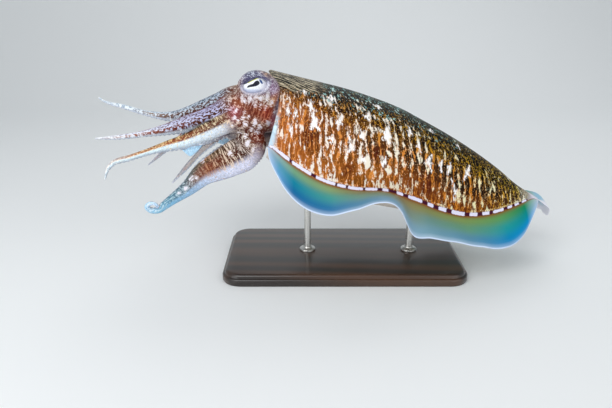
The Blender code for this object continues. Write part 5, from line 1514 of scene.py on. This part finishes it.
for side, name in ((-1, "suckers_left"), (1, "suckers_right")):
    places, facings, radii = [], [], []
    for arm in (a for a in arms if a.side == side):
        table = ARM_GIRTHS[arm.number]
        share = SUCKER_SPAN[0]
        while share < SUCKER_SPAN[1]:
            half_width, half_thick = along_rows(table, np.array([share]))[0]
            centre, tangent, oral, across = (v[0] for v in arm.at(np.array([share])))
            size = max(SUCKER_WIDTH * half_width, SUCKER_LEAST)
            small = (arm.side, arm.number) == (-1, 4) and SMALL_STRETCH[0] < share < SMALL_STRETCH[1]
            rows_here = SUCKER_ROWS.get(arm.number, SUCKER_ROWS[0])
            if half_width < NARROW_ARM:
                rows_here = NARROW_ROWS
            for k, offset in enumerate(rows_here):
                nudge = (0.5 if k % 2 else 0.0) * SUCKER_PITCH * size
                if arm.number == 4 and side == 1:
                    offset = -offset
                grow = root_growth(share)
                height = half_thick * grow * (FACE_RISE - FACE_FALL * offset * offset)
                point = centre + across * offset * half_width * grow + oral * (height + STALK * size)
                places.append(point + tangent * nudge)
                facings.append(oral + across * offset * CUP_SPLAY)
                middle = half_width >= NARROW_ARM and k in (1, 2)
                radii.append(size * (SMALL_SIZE if small else 1.0) * (MIDDLE_SIZE if middle else 1.0))
            share += SUCKER_PITCH * size / arm.length
    mesh = bpy.data.meshes.new(name)
    mesh.from_pydata(to_world(np.array(places)).tolist(), [], [])
    set_attribute(mesh, "facing", to_world(np.array(facings)) - COLLAR)
    set_attribute(mesh, "radius", radii)
    cups = bpy.data.objects.new(name, mesh)
    link(cups)
    modifier = cups.modifiers.new("cups", "NODES")
    modifier.node_group = tree
    modifier[sockets["Cup"]] = cup
    modifier[sockets["Size"]] = 1.0
    modifier[sockets["Finish"]] = ivory
    graph = bpy.context.evaluated_depsgraph_get()
    plain = bpy.data.meshes.new_from_object(cups.evaluated_get(graph))
    cups.modifiers.clear()
    cups.data, plain.name = plain, name
    plain.shade_smooth()
    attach(cups, "root")
bpy.data.objects.remove(cup)

# Mouth
# The buccal membrane, a soft cone with seven ribbed lappets, stands between the arms. Inside it a
# beaded lip closes round the dark horny beak.

MOUTH_RADIUS, MOUTH_LENGTH, MOUTH_LAPPETS, MOUTH_HEIGHT = 0.0122, 0.013, 7, -0.010
MOUTH_FRONT = HEAD_STATIONS[-1][0] - 0.0003
MOUTH_PROFILE = (  # share of the length forwards and of the radius
    (-0.50, 0.90), (-0.20, 0.97), (0.00, 1.00), (0.20, 1.04), (0.40, 1.05), (0.60, 0.99), (0.76, 0.88),
    (0.90, 0.74), (0.99, 0.62), (1.02, 0.57), (0.98, 0.52), (0.86, 0.48), (0.78, 0.42), (0.80, 0.36),
    (0.90, 0.32), (0.97, 0.27), (0.96, 0.21), (0.88, 0.17), (0.70, 0.14),
)
MOUTH_SIDES, MOUTH_RIBS = 16 * MOUTH_LAPPETS, 28
LAPPET_REACH, LAPPET_SWELL, BEAD_SWELL, RIB_SWELL = 0.0016, 0.10, 0.05, 0.015

# Silicone tinted flesh and cream, softly moist; painted shade makes it a little darker down in its folds,
# between the lappets and inside the lip.
membrane, tree, where = empty_material("tinted_moist_silicone")
# The fold attribute carries the painted shade of the folds
fold_shade_in = add(tree, "ShaderNodeAttribute", {"attribute_name": "fold"})
shade = add(tree, "ShaderNodeTexNoise", Vector=where, Scale=500.0, Detail=3.0)
depth = add(tree, "ShaderNodeMath", {"operation": "MULTIPLY_ADD"}, n0=shade, n1=0.35,
            n2=fold_shade_in.outputs["Fac"])
paint = paint_over(tree, linear("eadcd2"), [(depth, 0.15, 1.0, 1.0, 1.0, linear("a5705f"))])
relief = add(tree, "ShaderNodeBump", Height=shade, Strength=0.2, Distance=0.0005)
shader = add(tree, "ShaderNodeBsdfPrincipled", Base_Color=paint, Roughness=0.42, IOR=1.41,
             Coat_Weight=0.3, Coat_Roughness=0.2, Normal=relief)
add(tree, "ShaderNodeOutputMaterial", Surface=shader)

a = 2 * math.pi * np.arange(MOUTH_SIDES) / MOUTH_SIDES
points, fold_shades = [], []
for forward, reach in MOUTH_PROFILE:
    outer = smooth_step(reach, 0.40, 0.60)
    lobe = np.cos(MOUTH_LAPPETS * a) * max(forward, 0) * outer
    bead = np.cos(MOUTH_RIBS * a) * (BEAD_SWELL if 0.2 < reach < 0.34 else 0.0)
    rib = np.cos(MOUTH_RIBS * a) * RIB_SWELL * outer
    radius = MOUTH_RADIUS * reach * (1 + LAPPET_SWELL * lobe + bead + rib)
    x = MOUTH_FRONT - MOUTH_LENGTH * forward - LAPPET_REACH * lobe
    points.append(np.stack([x, radius * np.sin(a), MOUTH_HEIGHT + radius * np.cos(a)], -1))
    # Painted shade: more flesh-brown between the lappets and inside the lip
    fold_shades.append(0.35 - 0.25 * lobe + 0.5 * (1 - outer) * (forward < 0.9))
points = np.concatenate(points)
mouth = new_object("mouth_membrane", to_world(points), loft_faces(len(MOUTH_PROFILE), MOUTH_SIDES), membrane)
set_attribute(mouth.data, "fold", np.concatenate(fold_shades))
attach(mouth, "root")
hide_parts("mouth")

# Beak
# Two hooked jaws of black horn, the lower one outside the upper, show between the lips.

JAWS = (  # which jaw, half width, height over the mouth's middle, droop of its tip
    ("beak_upper", 0.0016, 0.0006, -0.0013),
    ("beak_lower", 0.0020, -0.0010, 0.0010),
)
JAW_RINGS, JAW_SIDES = 12, 16
JAW_START, JAW_LENGTH = 0.72, 0.30  # shares of the mouth's length
JAW_TIP = 0.00008

# Chitin: hard and polished, near black at the tip and brown where it is thin.
chitin, tree, where = empty_material("polished_dark_horn")
shade = add(tree, "ShaderNodeTexNoise", Vector=where, Scale=800.0, Detail=2.0)
paint = paint_over(tree, linear("140c08"), [(shade, 0.0, 1.0, 1.0, 1.0, linear("4a2a18"))])
shader = add(tree, "ShaderNodeBsdfPrincipled", Base_Color=paint, Roughness=0.22, IOR=1.55)
add(tree, "ShaderNodeOutputMaterial", Surface=shader)

for name, half, lift, droop in JAWS:
    points = []
    for k in range(JAW_RINGS):
        t = k / (JAW_RINGS - 1)
        wide = half * (1 - t) ** 0.6 + JAW_TIP
        for i in range(JAW_SIDES):
            b = 2 * math.pi * i / JAW_SIDES
            points.append(
                (
                    MOUTH_FRONT - MOUTH_LENGTH * (JAW_START + JAW_LENGTH * t),
                    wide * math.sin(b),
                    MOUTH_HEIGHT + lift + droop * t * t + 0.8 * wide * math.cos(b),
                )
            )
    jaw = new_object(name, to_world(np.array(points)), loft_faces(JAW_RINGS, JAW_SIDES), chitin)
    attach(jaw, "root")

# Funnel
# A soft tapering tube under the head, its rear end tucked into the mantle and its lip rolled open.

FUNNEL_STATIONS = (  # distance back, height of the axis, half width, half height
    (0.0180, -0.0175, 0.0135, 0.0065),
    (0.0085, -0.0200, 0.0140, 0.0070),
    (0.0000, -0.0235, 0.0140, 0.0075),
    (-0.0120, -0.0315, 0.0125, 0.0075),
    (-0.0260, -0.0425, 0.0100, 0.0070),
    (-0.0380, -0.0510, 0.0080, 0.0060),
)
FUNNEL_WALL, FUNNEL_BORE = 0.0016, 0.014
FUNNEL_SIDES, FUNNEL_RINGS, BORE_RINGS = 56, 60, 16
FLARE, FLARE_SPAN = 0.08, (0.030, 0.038)
FUNNEL_LIP = ((-0.0003, 0.25), (-0.0004, 0.6))  # rings over the lip: place beyond it, share of the wall

# Silicone, cream with a violet blush, and a sparse sprinkle of brown dots 0.8 mm across.
cream_skin, tree, where = empty_material("cream_silicone_with_brown_dots")
blush = add(tree, "ShaderNodeTexNoise", Vector=where, Scale=90.0, Detail=3.0)
dots = add(tree, "ShaderNodeTexVoronoi", Vector=where, Scale=430.0)
paint = paint_over(tree, linear("c8b6c0"), [
    (blush, 0.35, 0.60, 1.0, 1.0, linear("e9dfd3")), (dots, 0.26, 0.16, 0.8, 1.0, linear("7a4630")),
])
wrinkle = add(tree, "ShaderNodeTexNoise", Vector=where, Scale=420.0, Detail=3.0)
relief = add(tree, "ShaderNodeBump", Height=wrinkle, Strength=0.2, Distance=0.0006)
shader = add(tree, "ShaderNodeBsdfPrincipled", Base_Color=paint, Roughness=0.45, IOR=1.41,
             Coat_Weight=0.2, Coat_Roughness=0.25, Normal=relief)
add(tree, "ShaderNodeOutputMaterial", Surface=shader)

tip = FUNNEL_STATIONS[-1][0]
outer_backs = np.linspace(FUNNEL_STATIONS[0][0], tip, FUNNEL_RINGS)
inner_backs = np.linspace(tip, tip + FUNNEL_BORE, BORE_RINGS)
rings = [(back, 0.0, 0.0) for back in outer_backs]
rings += [(tip, push, FUNNEL_WALL * share) for push, share in FUNNEL_LIP]
rings += [(back, 0.0, FUNNEL_WALL) for back in inner_backs]
a = 2 * math.pi * np.arange(FUNNEL_SIDES) / FUNNEL_SIDES
points = []
for back, push, wall in rings:
    height, half_width, half_height = along_rows(FUNNEL_STATIONS, np.array([back]))[0]
    flare = 1 + FLARE * smooth_step(-back, *FLARE_SPAN)
    wide, high = (half_width - wall) * flare, (half_height - wall) * flare
    x = np.full(FUNNEL_SIDES, back + push)
    points.append(np.stack([x, wide * np.sin(a), height + high * np.cos(a)], -1))
points = np.concatenate(points)
funnel = new_object("funnel_tube", to_world(points), loft_faces(len(rings), FUNNEL_SIDES), cream_skin)
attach(funnel, "root")
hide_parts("funnel")

size = {"cad": [list(map(float, corner)) for corner in cad_box]}
size["visual"] = [list(map(float, corner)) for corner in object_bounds()]
